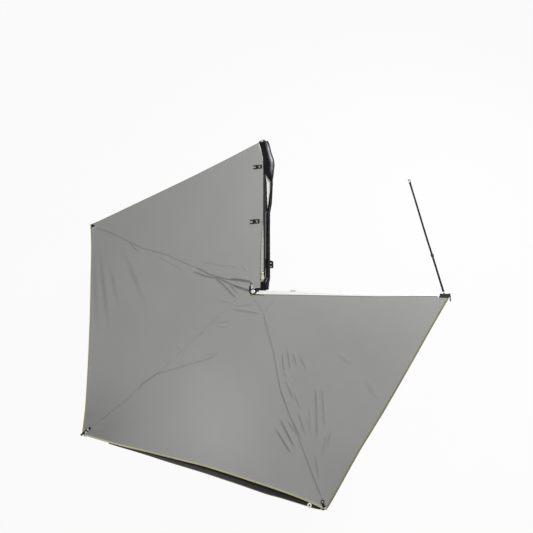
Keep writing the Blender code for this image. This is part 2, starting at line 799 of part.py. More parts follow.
def add_cross_piece(cap, name, stop):
    """The T at the end of the fourth arm, low enough to pass under its neighbour."""
    top = ARM_BOTTOM - 0.003
    half = CROSS_PIECE_LENGTH / 2
    far = stop + CROSS_PIECE_BEYOND
    near = far - CROSS_PIECE_WIDTH
    bar = box_mesh(f"{name}_bar", (-half, near, top - CROSS_PIECE_HEIGHT), (half, far, top))
    combine(cap, f"{name}_bar", bar, None, "UNION")
    thick = LUG_THICKNESS / 2
    stem = box_mesh(
        f"{name}_stem",
        (-thick, near + 0.001, top - CROSS_PIECE_HEIGHT / 2),
        (thick, stop - 0.001, ARM_BOTTOM + 0.008),
    )
    combine(cap, f"{name}_stem", stem, None, "UNION")


def eye_height():
    return ARM_BOTTOM + ARM_HEIGHT * 0.55


def eye_x():
    """The strap's eye sits on the fourth arm's outer side, in the arm's own frame."""
    return -ARM_WIDTH / 2 - EYE_REACH


def add_strap_eye(cap, name, y):
    tip = arc(eye_x(), y, EYE_RADIUS, 90, 270, 8)
    outline = [*tip, (-ARM_WIDTH / 2 + 0.003, y - EYE_RADIUS), (-ARM_WIDTH / 2 + 0.003, y + EYE_RADIUS)]
    eye = outline_solid(f"{name}_eye", [outline, circle(eye_x(), y, EYE_HOLE, 16)], EYE_THICKNESS)
    combine(cap, f"{name}_eye", eye, at(0, 0, eye_height() - EYE_THICKNESS / 2), "UNION")


# Retention strap


def strap_frame(pivot):
    """An empty in the eye, whose +Y runs along the strap."""
    y = ARM_ENDS["d"] + GAP + SLEEVE_LENGTH - EYE_FROM_END
    return make_empty("strap_pivot", (eye_x(), y, eye_height()), STRAP_HEADING, pivot)


def build_strap(pivot):
    frame = strap_frame(pivot)
    link = ring_mesh("strap_link", LINK_RADIUS, LINK_WIRE)
    turn = Matrix.Rotation(math.pi / 2, 4, "Y")
    place("strap_link", link, STEEL, at(0, LINK_RADIUS, 0) @ turn, frame, True)

    tilt = Matrix.Rotation(-math.asin(STRAP_FALL / STRAP_LENGTH), 4, "X")
    start = 2 * LINK_RADIUS + LINK_WIRE + GAP
    lie = at(0, start, 0) @ tilt
    half, thick = STRAP_WIDTH / 2, STRAP_THICKNESS / 2
    webbing = box_mesh("strap_webbing", (-half, 0, -thick), (half, STRAP_LENGTH, thick))
    place("strap_webbing", webbing, WEBBING, lie, frame)

    wide, high = ADJUSTER_WIDTH / 2, ADJUSTER_HEIGHT / 2
    outer = rounded(rectangle(-wide, -high, wide, high), 0.002)
    inner = rectangle(-half - GAP, -thick - GAP, half + GAP, thick + GAP)
    adjuster = outline_solid("strap_adjuster", [outer, inner], ADJUSTER_LENGTH)
    where = lie @ at(0, ADJUSTER_AT + ADJUSTER_LENGTH, 0) @ LAID_ALONG_Y
    place("strap_adjuster", adjuster, BLACK_PLASTIC, where, frame)

    hook = outline_solid("strap_hook", hook_loops(), HOOK_THICKNESS)
    where = lie @ at(0, STRAP_LENGTH + GAP, -HOOK_THICKNESS / 2)
    place("strap_hook", hook, BLACK_STEEL, where, frame)


def hook_loops():
    """A flat hook: a slotted head for the webbing and an open claw beyond it."""
    half = HOOK_WIDTH / 2
    bend = HOOK_LENGTH - half
    claw = arc(0, bend, half, 0, 180, 12)
    throat = arc(0, bend, half * 0.45, 180, 0, 8)
    inner = half * 0.45
    outline = [
        (-half, 0.0),
        (half, 0.0),
        (half, bend * 0.5),
        *claw,
        (-half, bend * 0.72),
        (-inner, bend * 0.72),
        *throat,
        (inner, bend * 0.48),
        (-half, bend * 0.34),
    ]
    slot = rectangle(-half * 0.72, 0.004, half * 0.72, 0.008)
    return [outline, slot]


# Canopy


def line_offsets():
    """Side distance from the hub pin of the rail's outer groove and of each arm's line."""
    return [RAIL_OFFSET + GROOVE_IN, *(groove_offset(arm) for arm in ARMS)]


def line_reaches():
    return [RAIL_FABRIC_REACH, *(CORNER_REACHES[arm] for arm in ARMS)]


def spoke(panel, share):
    """The line at a share of the way across a panel: its side offset and its turn."""
    offsets = line_offsets()
    side = offsets[panel] + (offsets[panel + 1] - offsets[panel]) * share
    swings = list(ARM_SWINGS.values())
    return side, math.radians(sum(swings[:panel]) + swings[panel] * share)


def on_spoke(side, turn, along):
    """A point of a spoke, measured from the hub pin."""
    x = side * math.cos(turn) - along * math.sin(turn)
    y = side * math.sin(turn) + along * math.cos(turn)
    return Vector((x, y))


def edge_reach(panel, share, bow):
    """How far along its spoke a panel's straight outer edge lies, less its bow."""
    reaches = line_reaches()
    first = on_spoke(*spoke(panel, 0.0), reaches[panel])
    last = on_spoke(*spoke(panel, 1.0), reaches[panel + 1])
    side, turn = spoke(panel, share)
    start = on_spoke(side, turn, 0.0)
    ahead = on_spoke(side, turn, 1.0) - start
    across = last - first
    reach = (first - start).cross(across) / ahead.cross(across)
    return reach - bow * 4 * share * (1 - share)


def inner_reach(panel, share):
    """Where a panel begins: at the tube's mouth on an arm, nearer the hub on the rail."""
    first = RAIL_FABRIC_START if panel == 0 else FABRIC_START
    return first + (FABRIC_START - first) * share


def grid_sheet(name, across, along, point, thickness, material, parent):
    """A grid bent to point(u, v) and thickened downwards."""
    bm = bmesh.new()
    bmesh.ops.create_grid(bm, x_segments=across, y_segments=along, size=0.5)
    for vert in bm.verts:
        vert.co = point(vert.co.x + 0.5, vert.co.y + 0.5)
    bmesh.ops.recalc_face_normals(bm, faces=bm.faces)
    facing = sum((face.normal.z for face in bm.faces), 0.0)
    if facing < 0:
        bmesh.ops.reverse_faces(bm, faces=bm.faces)
    sheet = place(name, mesh_from(name, bm), material, None, parent)
    solidify = sheet.modifiers.new("thickness", "SOLIDIFY")
    solidify.thickness = thickness
    solidify.offset = -1.0
    return sheet


def build_panel(panel, hub):
    """A panel lies flat on the arm or rail at each side and sags a little between them."""
    bow = EDGE_BOWS[panel]
    top = ARM_TOP + GAP + FABRIC
    column = 1 / PANEL_ACROSS
    row = 1 / PANEL_ALONG
    margin = GAP / line_reaches()[panel]
    swing = math.radians(ARM_SWINGS[ARMS[panel]])

    def point(u, v):
        reach = FABRIC_START + line_reaches()[panel] * v
        hem = min(PANEL_HEM / reach / swing, 0.35)
        inside = (u - column) / (1 - 2 * column)
        share = hem + (1 - 2 * hem) * min(max(inside, 0.0), 1.0)
        if u < column / 2:
            share = margin
        if u > 1 - column / 2:
            share = 1 - margin
        side, turn = spoke(panel, share)
        near = inner_reach(panel, share)
        far = edge_reach(panel, share, bow)
        flat = on_spoke(side, turn, near + (far - near) * v)
        slack = max(inside * (1 - inside), 0.0)
        beyond = max(v - row, 0.0) / (1 - row)
        return Vector((*flat, top - PANEL_SAG * 16 * slack * beyond * (1 - beyond)))

    name = f"canopy_panel_{panel + 1}"
    grid_sheet(name, PANEL_ACROSS, PANEL_ALONG, point, FABRIC, CANVAS, hub)


def build_valance(hub):
    """The dark strip that fills the bow of the edge between the second and third arms."""
    panel = 2
    bow = EDGE_BOWS[panel]
    top = ARM_TOP + GAP + FABRIC - VALANCE_DROP

    def point(u, v):
        share = VALANCE_FROM + (1 - 2 * VALANCE_FROM) * u
        side, turn = spoke(panel, share)
        near = edge_reach(panel, share, bow) + GAP
        far = edge_reach(panel, share, 0.0)
        return Vector((*on_spoke(side, turn, near + (far - near) * v), top))

    grid_sheet("valance", PANEL_ACROSS, 1, point, FABRIC / 2, COATED_CLOTH, hub)


# Bag cover and closing straps


def bag_seats():
    """Where the bag's left and lower sides lie: beside the rail, raised beside it, or on it."""
    beside = RAIL_OFFSET + RAIL_WIDTH + BRACKET_PLATE + BAG_CLEAR
    raised = RAIL_TOP + BAG_CLEAR
    return {
        "beside": (beside, BRACKET_HEIGHT + BAG_CLEAR),
        "raised": (beside, raised),
        "on_rail": (RAIL_OFFSET + GROOVE_IN + BAG_CLEAR, raised),
    }


def build_bag(hub):
    """A long flattened roll beside the rail that opens into a flap over it at the front."""
    seats = bag_seats()
    bm = bmesh.new()
    bmesh.ops.create_cube(bm, size=1.0)
    long_edges = [e for e in bm.edges if abs(e.verts[0].co.y - e.verts[1].co.y) > 0.5]
    bmesh.ops.subdivide_edges(bm, edges=long_edges, cuts=len(BAG_STATIONS) - 2)
    for vert in bm.verts:
        y, seat, width = BAG_STATIONS[round((vert.co.y + 0.5) * (len(BAG_STATIONS) - 1))]
        left, low = seats[seat]
        x = left if vert.co.x < 0 else left + width
        z = low if vert.co.z < 0 else low + BAG_HEIGHT
        vert.co = (x, y, z)
    bag = place("bag_cover", mesh_from("bag_cover", bm), COATED_CLOTH, None, hub, True)
    smooth = bag.modifiers.new("soft", "SUBSURF")
    smooth.levels = 1
    smooth.render_levels = 1


def buckle_loops():
    """Half of a side-release buckle: a frame with a window, a cross bar and two prongs."""
    half = BUCKLE_WIDTH / 2
    bar = BUCKLE_BAR_WIDTH / 2
    shoulder = BUCKLE_BODY + BUCKLE_BAR
    tip = shoulder + PRONG_LENGTH
    inner = half - PRONG_WIDTH
    outline = [
        (half, 0.0),
        (half, BUCKLE_BODY),
        (bar, BUCKLE_BODY),
        (bar, shoulder),
        (half, shoulder),
        (half, tip - 0.004),
        (half - 0.003, tip),
        (inner, tip),
        (inner, shoulder),
        (-inner, shoulder),
        (-inner, tip),
        (-half + 0.003, tip),
        (-half, tip - 0.004),
        (-half, shoulder),
        (-bar, shoulder),
        (-bar, BUCKLE_BODY),
        (-half, BUCKLE_BODY),
        (-half, 0.0),
    ]
    window = rectangle(-half + 0.006, 0.016, half - 0.006, BUCKLE_BODY - 0.002)
    return [outline, window]


def build_closing_straps(hub):
    """Each tab lies over the rail's edge; its buckle lies on the canopy, prongs outward."""
    low = ARM_TOP + 2 * GAP + FABRIC
    for word, (y, slid) in BUCKLE_PLACES.items():
        root = RAIL_OFFSET + RAIL_WALL
        tab = box_mesh(
            f"{word}_strap_tab",
            (root - TAB_LENGTH - slid, y - TAB_WIDTH / 2, low),
            (root, y + TAB_WIDTH / 2, low + TAB_THICKNESS),
        )
        place(f"{word}_strap_tab", tab, CANVAS, None, hub)
        buckle = outline_solid(f"{word}_buckle", buckle_loops(), BUCKLE_THICKNESS)
        z = low + TAB_THICKNESS + GAP
        where = at(root - 0.012 - slid, y, z) @ Matrix.Rotation(math.pi / 2, 4, "Z")
        place(f"{word}_buckle", buckle, BLACK_PLASTIC, where, hub)


def build():
    pivots = make_pivots()
    hub = pivots["root"]
    for end, y in BRACKET_PLACES.items():
        build_bracket(f"{end}_bracket", y)
    build_rail()
    build_rail_bolts()
    build_hub_bracket(hub)
    build_hub_bolts(hub)
    build_pin(hub)
    for arm in ARMS:
        build_arm(arm, pivots[arm])
        build_cap(arm, pivots[arm])
    build_strap(pivots["d"])
    for panel in range(4):
        build_panel(panel, hub)
    build_valance(hub)
    build_bag(hub)
    build_closing_straps(hub)


build()
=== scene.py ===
"""Looks of the vehicle side awning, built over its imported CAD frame."""

import json
import math

import bpy
import numpy as np
from mathutils import Matrix, Vector


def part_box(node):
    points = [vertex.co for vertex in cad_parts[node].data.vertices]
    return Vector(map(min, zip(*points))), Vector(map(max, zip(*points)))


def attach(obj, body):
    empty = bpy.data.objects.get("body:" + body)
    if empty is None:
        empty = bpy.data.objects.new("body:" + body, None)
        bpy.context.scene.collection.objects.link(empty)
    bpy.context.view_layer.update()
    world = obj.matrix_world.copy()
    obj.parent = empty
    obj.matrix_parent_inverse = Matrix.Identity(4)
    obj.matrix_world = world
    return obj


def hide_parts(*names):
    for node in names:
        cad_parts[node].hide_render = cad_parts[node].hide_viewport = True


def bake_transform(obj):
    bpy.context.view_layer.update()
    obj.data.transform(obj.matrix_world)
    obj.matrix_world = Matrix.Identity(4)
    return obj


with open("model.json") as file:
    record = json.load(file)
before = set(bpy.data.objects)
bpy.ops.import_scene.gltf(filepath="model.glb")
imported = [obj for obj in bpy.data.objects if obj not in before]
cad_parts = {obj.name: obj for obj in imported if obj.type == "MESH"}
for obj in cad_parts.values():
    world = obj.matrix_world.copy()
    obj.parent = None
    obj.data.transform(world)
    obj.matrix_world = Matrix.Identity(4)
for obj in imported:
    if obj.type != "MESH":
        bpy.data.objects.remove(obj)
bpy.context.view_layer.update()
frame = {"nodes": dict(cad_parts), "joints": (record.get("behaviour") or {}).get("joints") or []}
NODES = frame["nodes"]
JOINTS = {joint["name"]: joint for joint in frame["joints"]}

# The fan: its hub pin, its arms and the lines that hold the cloth

HUB = Vector(JOINTS["arm_a_swing"]["pos_m"][:2])
CARRIERS = ("root", "arm_a", "arm_b", "arm_c", "arm_d")
# How far each arm is swung from the one before it, and each one's turn from the rail.
SWINGS = [-math.radians(JOINTS[f"{arm}_swing"]["range_deg"][0]) for arm in CARRIERS[1:]]
TURNS = [sum(SWINGS[:count]) for count in range(5)]
# Side distance from the hub pin to the bead groove of the rail and of each arm.
GROOVES = (0.1049, 0.0825, 0.0550, 0.0275, 0.0066)
# Distance from the hub pin, along the rail and along each arm, to the cloth's corner.
CORNERS = (2.022, 2.190, 2.140, 2.100, 1.940)
# How far each panel's edge lies outside the straight line between its corners, at shares of it.
EDGE_CURVES = (
    (
        (0.0, -0.002), (0.1, -0.006), (0.2, -0.011), (0.4, -0.012),
        (0.55, -0.007), (0.7, 0.0), (0.93, 0.014), (1.0, 0.030),
    ),
    (
        (0.0, 0.018), (0.05, 0.004), (0.12, -0.008), (0.25, -0.015),
        (0.4, -0.022), (0.6, -0.023), (0.88, -0.015), (1.0, 0.010),
    ),
    (
        (0.0, 0.0), (0.14, -0.012), (0.26, -0.028), (0.42, -0.041),
        (0.56, -0.049), (0.8, -0.039), (0.92, -0.022), (1.0, 0.014),
    ),
    (
        (0.0, 0.018), (0.03, 0.022), (0.1, 0.022), (0.2, 0.0205), (0.3, 0.026),
        (0.4, 0.030), (0.6, 0.028), (0.84, 0.020), (1.0, 0.016),
    ),
)
# How far each seam strays sideways from its groove, from the rail's to the last arm's: metres along
# it, and metres towards the panel before.
SEAM_DRIFTS = (
    ((0.0, 0.0), (2.2, 0.0)),
    (
        (0.05, 0.0), (0.20, -0.032), (0.36, -0.062), (0.52, -0.062), (0.74, -0.044),
        (1.10, -0.019), (1.43, -0.038), (1.68, -0.012), (1.90, 0.007), (2.20, 0.010),
    ),
    (
        (0.05, 0.0), (0.90, -0.020), (1.24, -0.038), (1.49, -0.011),
        (1.62, -0.030), (1.80, -0.012), (2.16, 0.004),
    ),
    (
        (0.05, 0.0), (0.28, -0.054), (0.67, -0.038), (1.03, 0.012),
        (1.23, 0.009), (1.58, -0.008), (2.03, -0.031), (2.14, -0.031),
    ),
    ((0.0, 0.0), (2.2, 0.0)),
)
# The painted shade on the second arm's seam is faint nearer the hub: metres along it where it starts
# to show and where it shows fully, and how much of it is lost before.
FAINT_SEAM = (1.12, 1.30)
FAINTNESS = 0.85
# Distance from the hub pin at which each panel starts, at its first and at its second side.
PANEL_STARTS = ((0.034, 0.042), (0.068, 0.056), (0.056, 0.044), (0.044, 0.075))
# Where the cloth ends round the hub: degrees from the rail, metres from the hub pin.
HUB_EDGE = (
    (-72.0, 0.098), (-66.0, 0.080), (-53.0, 0.055), (-27.0, 0.038), (-13.0, 0.035), (0.0, 0.040),
    (6.0, 0.070), (8.5, 0.106), (15.5, 0.110), (20.0, 0.082), (27.0, 0.072), (45.0, 0.057),
    (66.0, 0.043), (90.0, 0.038), (136.0, 0.040), (180.0, 0.036), (218.0, 0.044), (230.0, 0.046),
    (246.0, 0.045), (262.0, 0.042),
)
# The pale tape between the last arm's groove and the cloth: metres along the arm, width.
TAPE = ((0.02, 0.0200), (0.1, 0.0245), (1.3, 0.0225), (1.5, 0.0160), (1.72, 0.0100), (1.85, 0.0050))
# The cloth is cut away round the sleeve at the last arm's end: where it starts, how wide the gap is
# and how far from the hub pin that width is measured.
SLEEVE_START = 1.866
SLEEVE_ROOM = 0.028
SLEEVE_REACH = 1.9
# Where the cloth is paler or darker: degrees from the rail, metres, radius, change.
FADES = (
    (160.0, 1.15, 0.50, 0.15),
    (131.5, 2.10, 0.42, -0.30),
    (170.0, 1.50, 0.36, 0.14),
    (245.0, 1.20, 0.60, -0.06),
    (205.0, 2.00, 0.25, -0.07),
    (75.0, 2.05, 0.30, -0.06),
)

ARM_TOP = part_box("arm_a_tube")[1].z
CLOTH_LEVEL = ARM_TOP + 0.0026
CLOTH_SAG = 0.0011
CLOTH_THICKNESS = 0.0007


# Shader expressions


class Value:
    """A shader socket that can be used in Python sums."""

    def __init__(self, nodes, socket):
        self.nodes = nodes
        self.socket = socket

    def math(self, operation, first, second=None):
        values = {0: first} if second is None else {0: first, 1: second}
        return self.nodes.node("ShaderNodeMath", {"operation": operation}, values)

    def __add__(self, other):
        return self.math("ADD", self, other)

    def __sub__(self, other):
        return self.math("SUBTRACT", self, other)

    def __mul__(self, other):
        return self.math("MULTIPLY", self, other)

    def __truediv__(self, other):
        return self.math("DIVIDE", self, other)

    def __rsub__(self, other):
        return self.math("SUBTRACT", other, self)

    def __lt__(self, other):
        return self.math("LESS_THAN", self, other)

    def __abs__(self):
        return self.math("ABSOLUTE", self)

    __radd__ = __add__
    __rmul__ = __mul__

    def sine(self):
        return self.math("SINE", self)

    def fraction(self):
        return self.math("FRACT", self)

    def larger(self, other):
        return self.math("MAXIMUM", self, other)

    def step(self, start, end):
        """0 below start, 1 above end and smooth between."""
        settings = {"interpolation_type": "SMOOTHSTEP"}
        values = {"Value": self, "From Min": start, "From Max": end}
        return self.nodes.node("ShaderNodeMapRange", settings, values)


class Nodes:
    """A node tree and the one method that fills it."""

    def __init__(self, tree):
        self.tree = tree

    def feed(self, socket, value):
        if isinstance(value, Value):
            self.tree.links.new(value.socket, socket)
        elif socket.type == "RGBA" and len(value) == 3:
            socket.default_value = (*value, 1.0)
        else:
            socket.default_value = value

    def node(self, kind, settings=None, values=None, output=0):
        """Adds a node: its settings first, then the values or links of its sockets."""
        made = self.tree.nodes.new(kind)
        for key, setting in (settings or {}).items():
            setattr(made, key, setting)
        for key, value in (values or {}).items():
            self.feed(made.inputs[key], value)
        return Value(self, made.outputs[output] if made.outputs else None)


class Finish(Nodes):
    """One material: its shader, and the nodes that vary it over the surface."""

    def __init__(self, name, **fixed):
        self.material = bpy.data.materials.new(name)
        self.material.use_nodes = True
        super().__init__(self.material.node_tree)
        self.shader = self.tree.nodes["Principled BSDF"]
        self.set(**fixed)

    def set(self, **values):
        """Sets the shader's own sockets: base_color= is its socket Base Color."""
        for word, value in values.items():
            socket = word.replace("_", " ").title().replace("Ior", "IOR")
            self.feed(self.shader.inputs[socket], value)
        return self

    def place(self, turn=0.0, stretch=(1.0, 1.0, 1.0)):
        """Where a point is on its piece, turned to a direction and stretched."""
        spot = self.node("ShaderNodeTexCoord", output=3)
        values = {"Vector": spot, "Rotation": (0.0, 0.0, -turn), "Scale": stretch}
        return self.node("ShaderNodeMapping", None, values)

    def cut(self, stretch=(1.0, 1.0, 1.0)):
        """Where a point is on the flat cloth, in metres across and along the weave."""
        settings = {"attribute_name": "cut"}
        spot = self.node("ShaderNodeAttribute", settings, output=1)
        return self.node("ShaderNodeMapping", None, {"Vector": spot, "Scale": stretch})

    def mark(self, name):
        """A number that the mesh holds at each point."""
        return self.node("ShaderNodeAttribute", {"attribute_name": name}, output=2)

    def part(self, vector, axis):
        return self.node("ShaderNodeSeparateXYZ", None, {"Vector": vector}, output=axis)

    def noise(self, where, scale, detail=2.0, rough=0.5):
        values = {"Vector": where, "Scale": scale, "Detail": detail, "Roughness": rough}
        return self.node("ShaderNodeTexNoise", None, values)

    def blend(self, share, first, second):
        """One colour where share is 0 and another where it is 1."""
        values = {0: share, 6: first, 7: second}
        return self.node("ShaderNodeMix", {"data_type": "RGBA"}, values, output=2)

    def shade(self, colour, tone):
        """A colour made paler or darker by a tone that varies."""
        return self.node("ShaderNodeVectorMath", {"operation": "SCALE"}, {0: colour, 3: tone})

    def bump(self, height, depth, strength=1.0):
        values = {"Height": height, "Distance": depth, "Strength": strength}
        return self.node("ShaderNodeBump", None, values)


# Finishes


WEAVE_PITCH = 0.0011


def woven(finish):
    """The height of a plain weave: threads over and under one another."""
    spot = finish.cut()
    turns = 2 * math.pi / WEAVE_PITCH
    across = (finish.part(spot, 0) * turns).sine()
    along = (finish.part(spot, 1) * turns).sine()
    return across * along


# How far the rows of stitches lie from a seam, from the hem and from the tape's edge.
SEAM_ROW = 0.0085
HEM_ROWS = (0.0190, 0.0030)
TAPE_ROW = 0.0100
STITCH_PITCH = 0.0042
# How much of the pitch is thread, and half the thread's width.
STITCH_SHARE = 0.62
STITCH_HALF = 0.0006
# How much darker painted shade makes the cloth on a seam's line and in a crease.
SEAM_DARK = 0.30
CREASE_DARK = 0.34


def sewn_row(distance, row):
    """1 on a row of stitches that lies that far from a seam or an edge."""
    return abs(distance - row) < STITCH_HALF


def canvas(name, colour, dusty, taped=False):
    """Matt poly-cotton canvas: weave, slubs, faint dirt, sewn lines beside its seams, painted shade on its
    seams and creases.
    """
    finish = Finish(name, roughness=0.88, specular_ior_level=0.22, sheen_weight=0.10)
    clouds = finish.noise(finish.place(), 1.7, 4.0, 0.6)
    slubs = finish.noise(finish.cut((260.0, 9.0, 1.0)), 1.0, 2.0)
    picks = finish.noise(finish.cut((9.0, 260.0, 1.0)), 1.0, 2.0)
    specks = finish.noise(finish.place(), 95.0, 3.0, 0.7).step(0.60, 0.80)
    tone = 0.93 + clouds * 0.10 + (slubs + picks) * 0.045 - specks * 0.05
    seam = finish.mark("from_seam")
    hem = finish.mark("from_hem")
    # Painted shade along the seams' grooves.
    dark_line = (1 - seam.step(0.0004, 0.0030)) * finish.mark("seam_shade")
    tone = tone * (1 - dark_line * SEAM_DARK) * (1.0 + finish.mark("fade"))
    # Painted shade in the folds' creases.
    tone = tone * (1 - finish.mark("crease") * CREASE_DARK)
    dust = finish.noise(finish.place(), 3.1, 3.0, 0.65).step(0.45, 0.80) * 0.30
    colours = finish.blend(dust, finish.shade(colour, tone), dusty)
    length = finish.part(finish.cut(), 1)
    stitch = (length / STITCH_PITCH).fraction() < STITCH_SHARE
    rows = sewn_row(seam, SEAM_ROW) + sewn_row(hem, HEM_ROWS[0]) + sewn_row(hem, HEM_ROWS[1])
    if taped:
        tape = finish.mark("from_tape")
        # Painted shade of the cloth's folded edge beside the tape.
        bound = 1 - (abs(tape - 0.0035)).step(0.0025, 0.0045)
        colours = finish.blend(bound * 0.75, colours, TAPE_EDGE_SHADE)
        colours = finish.blend(tape < 0.0, colours, TAPE_WHITE)
        rows = rows + sewn_row(tape, TAPE_ROW)
    finish.set(base_color=colours)
    height = woven(finish) * 0.10 + (slubs + picks) * 0.25 + rows * stitch * 1.2
    finish.set(normal=finish.bump(height, 0.0004, 0.6))
    return finish.material


def coated_cloth(name, colour, lit):
    """Wet-look coated cloth: nearly black, with fine grain and a patchy painted highlight on its crests."""
    finish = Finish(name, specular_ior_level=0.10)
    grain = finish.noise(finish.place(), 420.0, 2.0)
    wear_and_highlight = finish.noise(finish.place(), 14.0, 4.0, 0.6).step(0.40, 0.70)
    painted_highlight = finish.mark("painted_highlight")
    finish.set(base_color=finish.blend(painted_highlight * (0.45 + wear_and_highlight * 0.55), colour, lit))
    finish.set(roughness=0.34 + wear_and_highlight * 0.18 + grain * 0.06)
    folds = finish.noise(finish.place(0.0, (30.0, 9.0, 30.0)), 1.0, 3.0, 0.6)
    finish.set(normal=finish.bump(grain * 0.12 + folds, 0.0030, 0.8))
    return finish.material


def fine_threads(finish, patchy):
    """Gives small cloth pieces their relief: fine slanting threads, rougher in patches."""
    threads = finish.noise(finish.place(0.6, (900.0, 900.0, 60.0)), 1.0, 1.0)
    finish.set(normal=finish.bump(threads + patchy * 0.4, 0.0005, 0.6))


def plain_cloth(name, colour, worn, size=60.0):
    """Dull cloth for small sewn pieces, worn in patches."""
    finish = Finish(name, roughness=0.85, specular_ior_level=0.12)
    patchy = finish.noise(finish.place(), size, 3.0, 0.6)
    finish.set(base_color=finish.blend(patchy.step(0.4, 0.75) * 0.5, colour, worn))
    fine_threads(finish, patchy)
    return finish.material


def valance_cloth(name):
    """Black cloth with an olive edge, and a painted highlight that greys it towards its outer side."""
    finish = Finish(name, roughness=0.85, specular_ior_level=0.12)
    across = finish.mark("across")
    patchy = finish.noise(finish.place(), 22.0, 3.0, 0.6)
    middle = 1 - finish.mark("way").step(0.50, 0.90) * 0.65
    # Painted highlight: greyer towards the outer side, weaker towards the far end.
    painted_grey = across.step(0.28, 0.55) * (0.55 + patchy * 0.8) * middle
    colours = finish.blend(painted_grey, (0.011, 0.011, 0.010), (0.060, 0.060, 0.063))
    finish.set(base_color=finish.blend(across.step(0.86, 0.93), colours, (0.24, 0.22, 0.10)))
    fine_threads(finish, patchy)
    return finish.material


def webbing(name, colour, worn, turn, pitch=0.0022):
    """Flat woven strap: ribs across it, thicker edges, pale wear on the high threads."""
    finish = Finish(name, roughness=0.75, specular_ior_level=0.12, sheen_weight=0.04)
    spot = finish.place(turn)
    ribs = (finish.part(spot, 1) * (2 * math.pi / pitch)).sine()
    rows = (finish.part(spot, 0) * (2 * math.pi / (pitch * 0.8))).sine()
    patchy = finish.noise(finish.place(), 35.0, 3.0, 0.65).step(0.42, 0.78)
    finish.set(base_color=finish.blend(patchy * (0.35 + ribs * 0.15), colour, worn))
    finish.set(normal=finish.bump(ribs * 0.6 + ribs * rows * 0.4, 0.0004, 0.8))
    return finish.material


def extruded(name, colour, turn, rough=0.30):
    """Bright extruded aluminium: die lines along it, smudges and short scratches."""
    finish = Finish(name, metallic=1.0, specular_ior_level=0.5)
    lines = finish.noise(finish.place(turn, (520.0, 1.3, 520.0)), 1.0, 2.0, 0.7)
    smudges = finish.noise(finish.place(turn, (9.0, 3.0, 9.0)), 1.0, 4.0, 0.6)
    scratch = finish.noise(finish.place(turn + 0.5, (700.0, 26.0, 40.0)), 1.0, 1.0).step(0.70, 0.78)
    tone = 0.93 + lines * 0.10 - smudges.step(0.5, 0.8) * 0.07 - scratch * 0.12
    finish.set(base_color=finish.shade(colour, tone))
    finish.set(roughness=rough + lines * 0.10 + smudges * 0.14 + scratch * 0.2)
    finish.set(normal=finish.bump(lines - scratch * 0.8, 0.00025, 0.5))
    return finish.material


def plated(name, colour, dull, rough=0.28):
    """Zinc plated steel: a soft grain and dull spots."""
    finish = Finish(name, metallic=1.0)
    grain = finish.noise(finish.place(), 260.0, 3.0, 0.6)
    spots = finish.noise(finish.place(), 42.0, 4.0, 0.65).step(0.52, 0.75)
    finish.set(base_color=finish.blend(spots * 0.6, colour, dull))
    finish.set(roughness=rough + spots * 0.22 + grain * 0.08)
    finish.set(normal=finish.bump(grain, 0.00012, 0.4))
    return finish.material


def powder_coated(name, colour, bare):
    """Powder coat: orange peel and small chips through to the metal."""
    finish = Finish(name, specular_ior_level=0.2)
    peel = finish.noise(finish.place(), 620.0, 2.0)
    chips = finish.noise(finish.place(), 120.0, 4.0, 0.75).step(0.66, 0.70)
    finish.set(base_color=finish.blend(chips, colour, bare), metallic=chips * 0.8)
    finish.set(roughness=0.42 + peel * 0.12 - chips * 0.1)
    finish.set(normal=finish.bump(peel - chips * 1.5, 0.00020, 0.6))
    return finish.material


def moulded(name, colour, scuffed, rough=0.45, gloss=0.4):
    """Moulded plastic: a fine spark-eroded grain and pale scuffs."""
    finish = Finish(name, specular_ior_level=gloss)
    grain = finish.noise(finish.place(), 900.0, 2.0)
    scuffs = finish.noise(finish.place(0.7, (25.0, 190.0, 60.0)), 1.0, 3.0, 0.6).step(0.60, 0.76)
    finish.set(base_color=finish.blend(scuffs * 0.5, colour, scuffed))
    finish.set(roughness=rough + grain * 0.10 + scuffs * 0.12)
    finish.set(normal=finish.bump(grain - scuffs * 0.6, 0.00018, 0.6))
    return finish.material


CANVAS_GREY = (0.314, 0.313, 0.308)
CANVAS_DUST = (0.340, 0.336, 0.318)
# The colour of the painted shade beside the last arm's tape.
TAPE_EDGE_SHADE = (0.125, 0.125, 0.085)
TAPE_WHITE = (0.86, 0.86, 0.85)
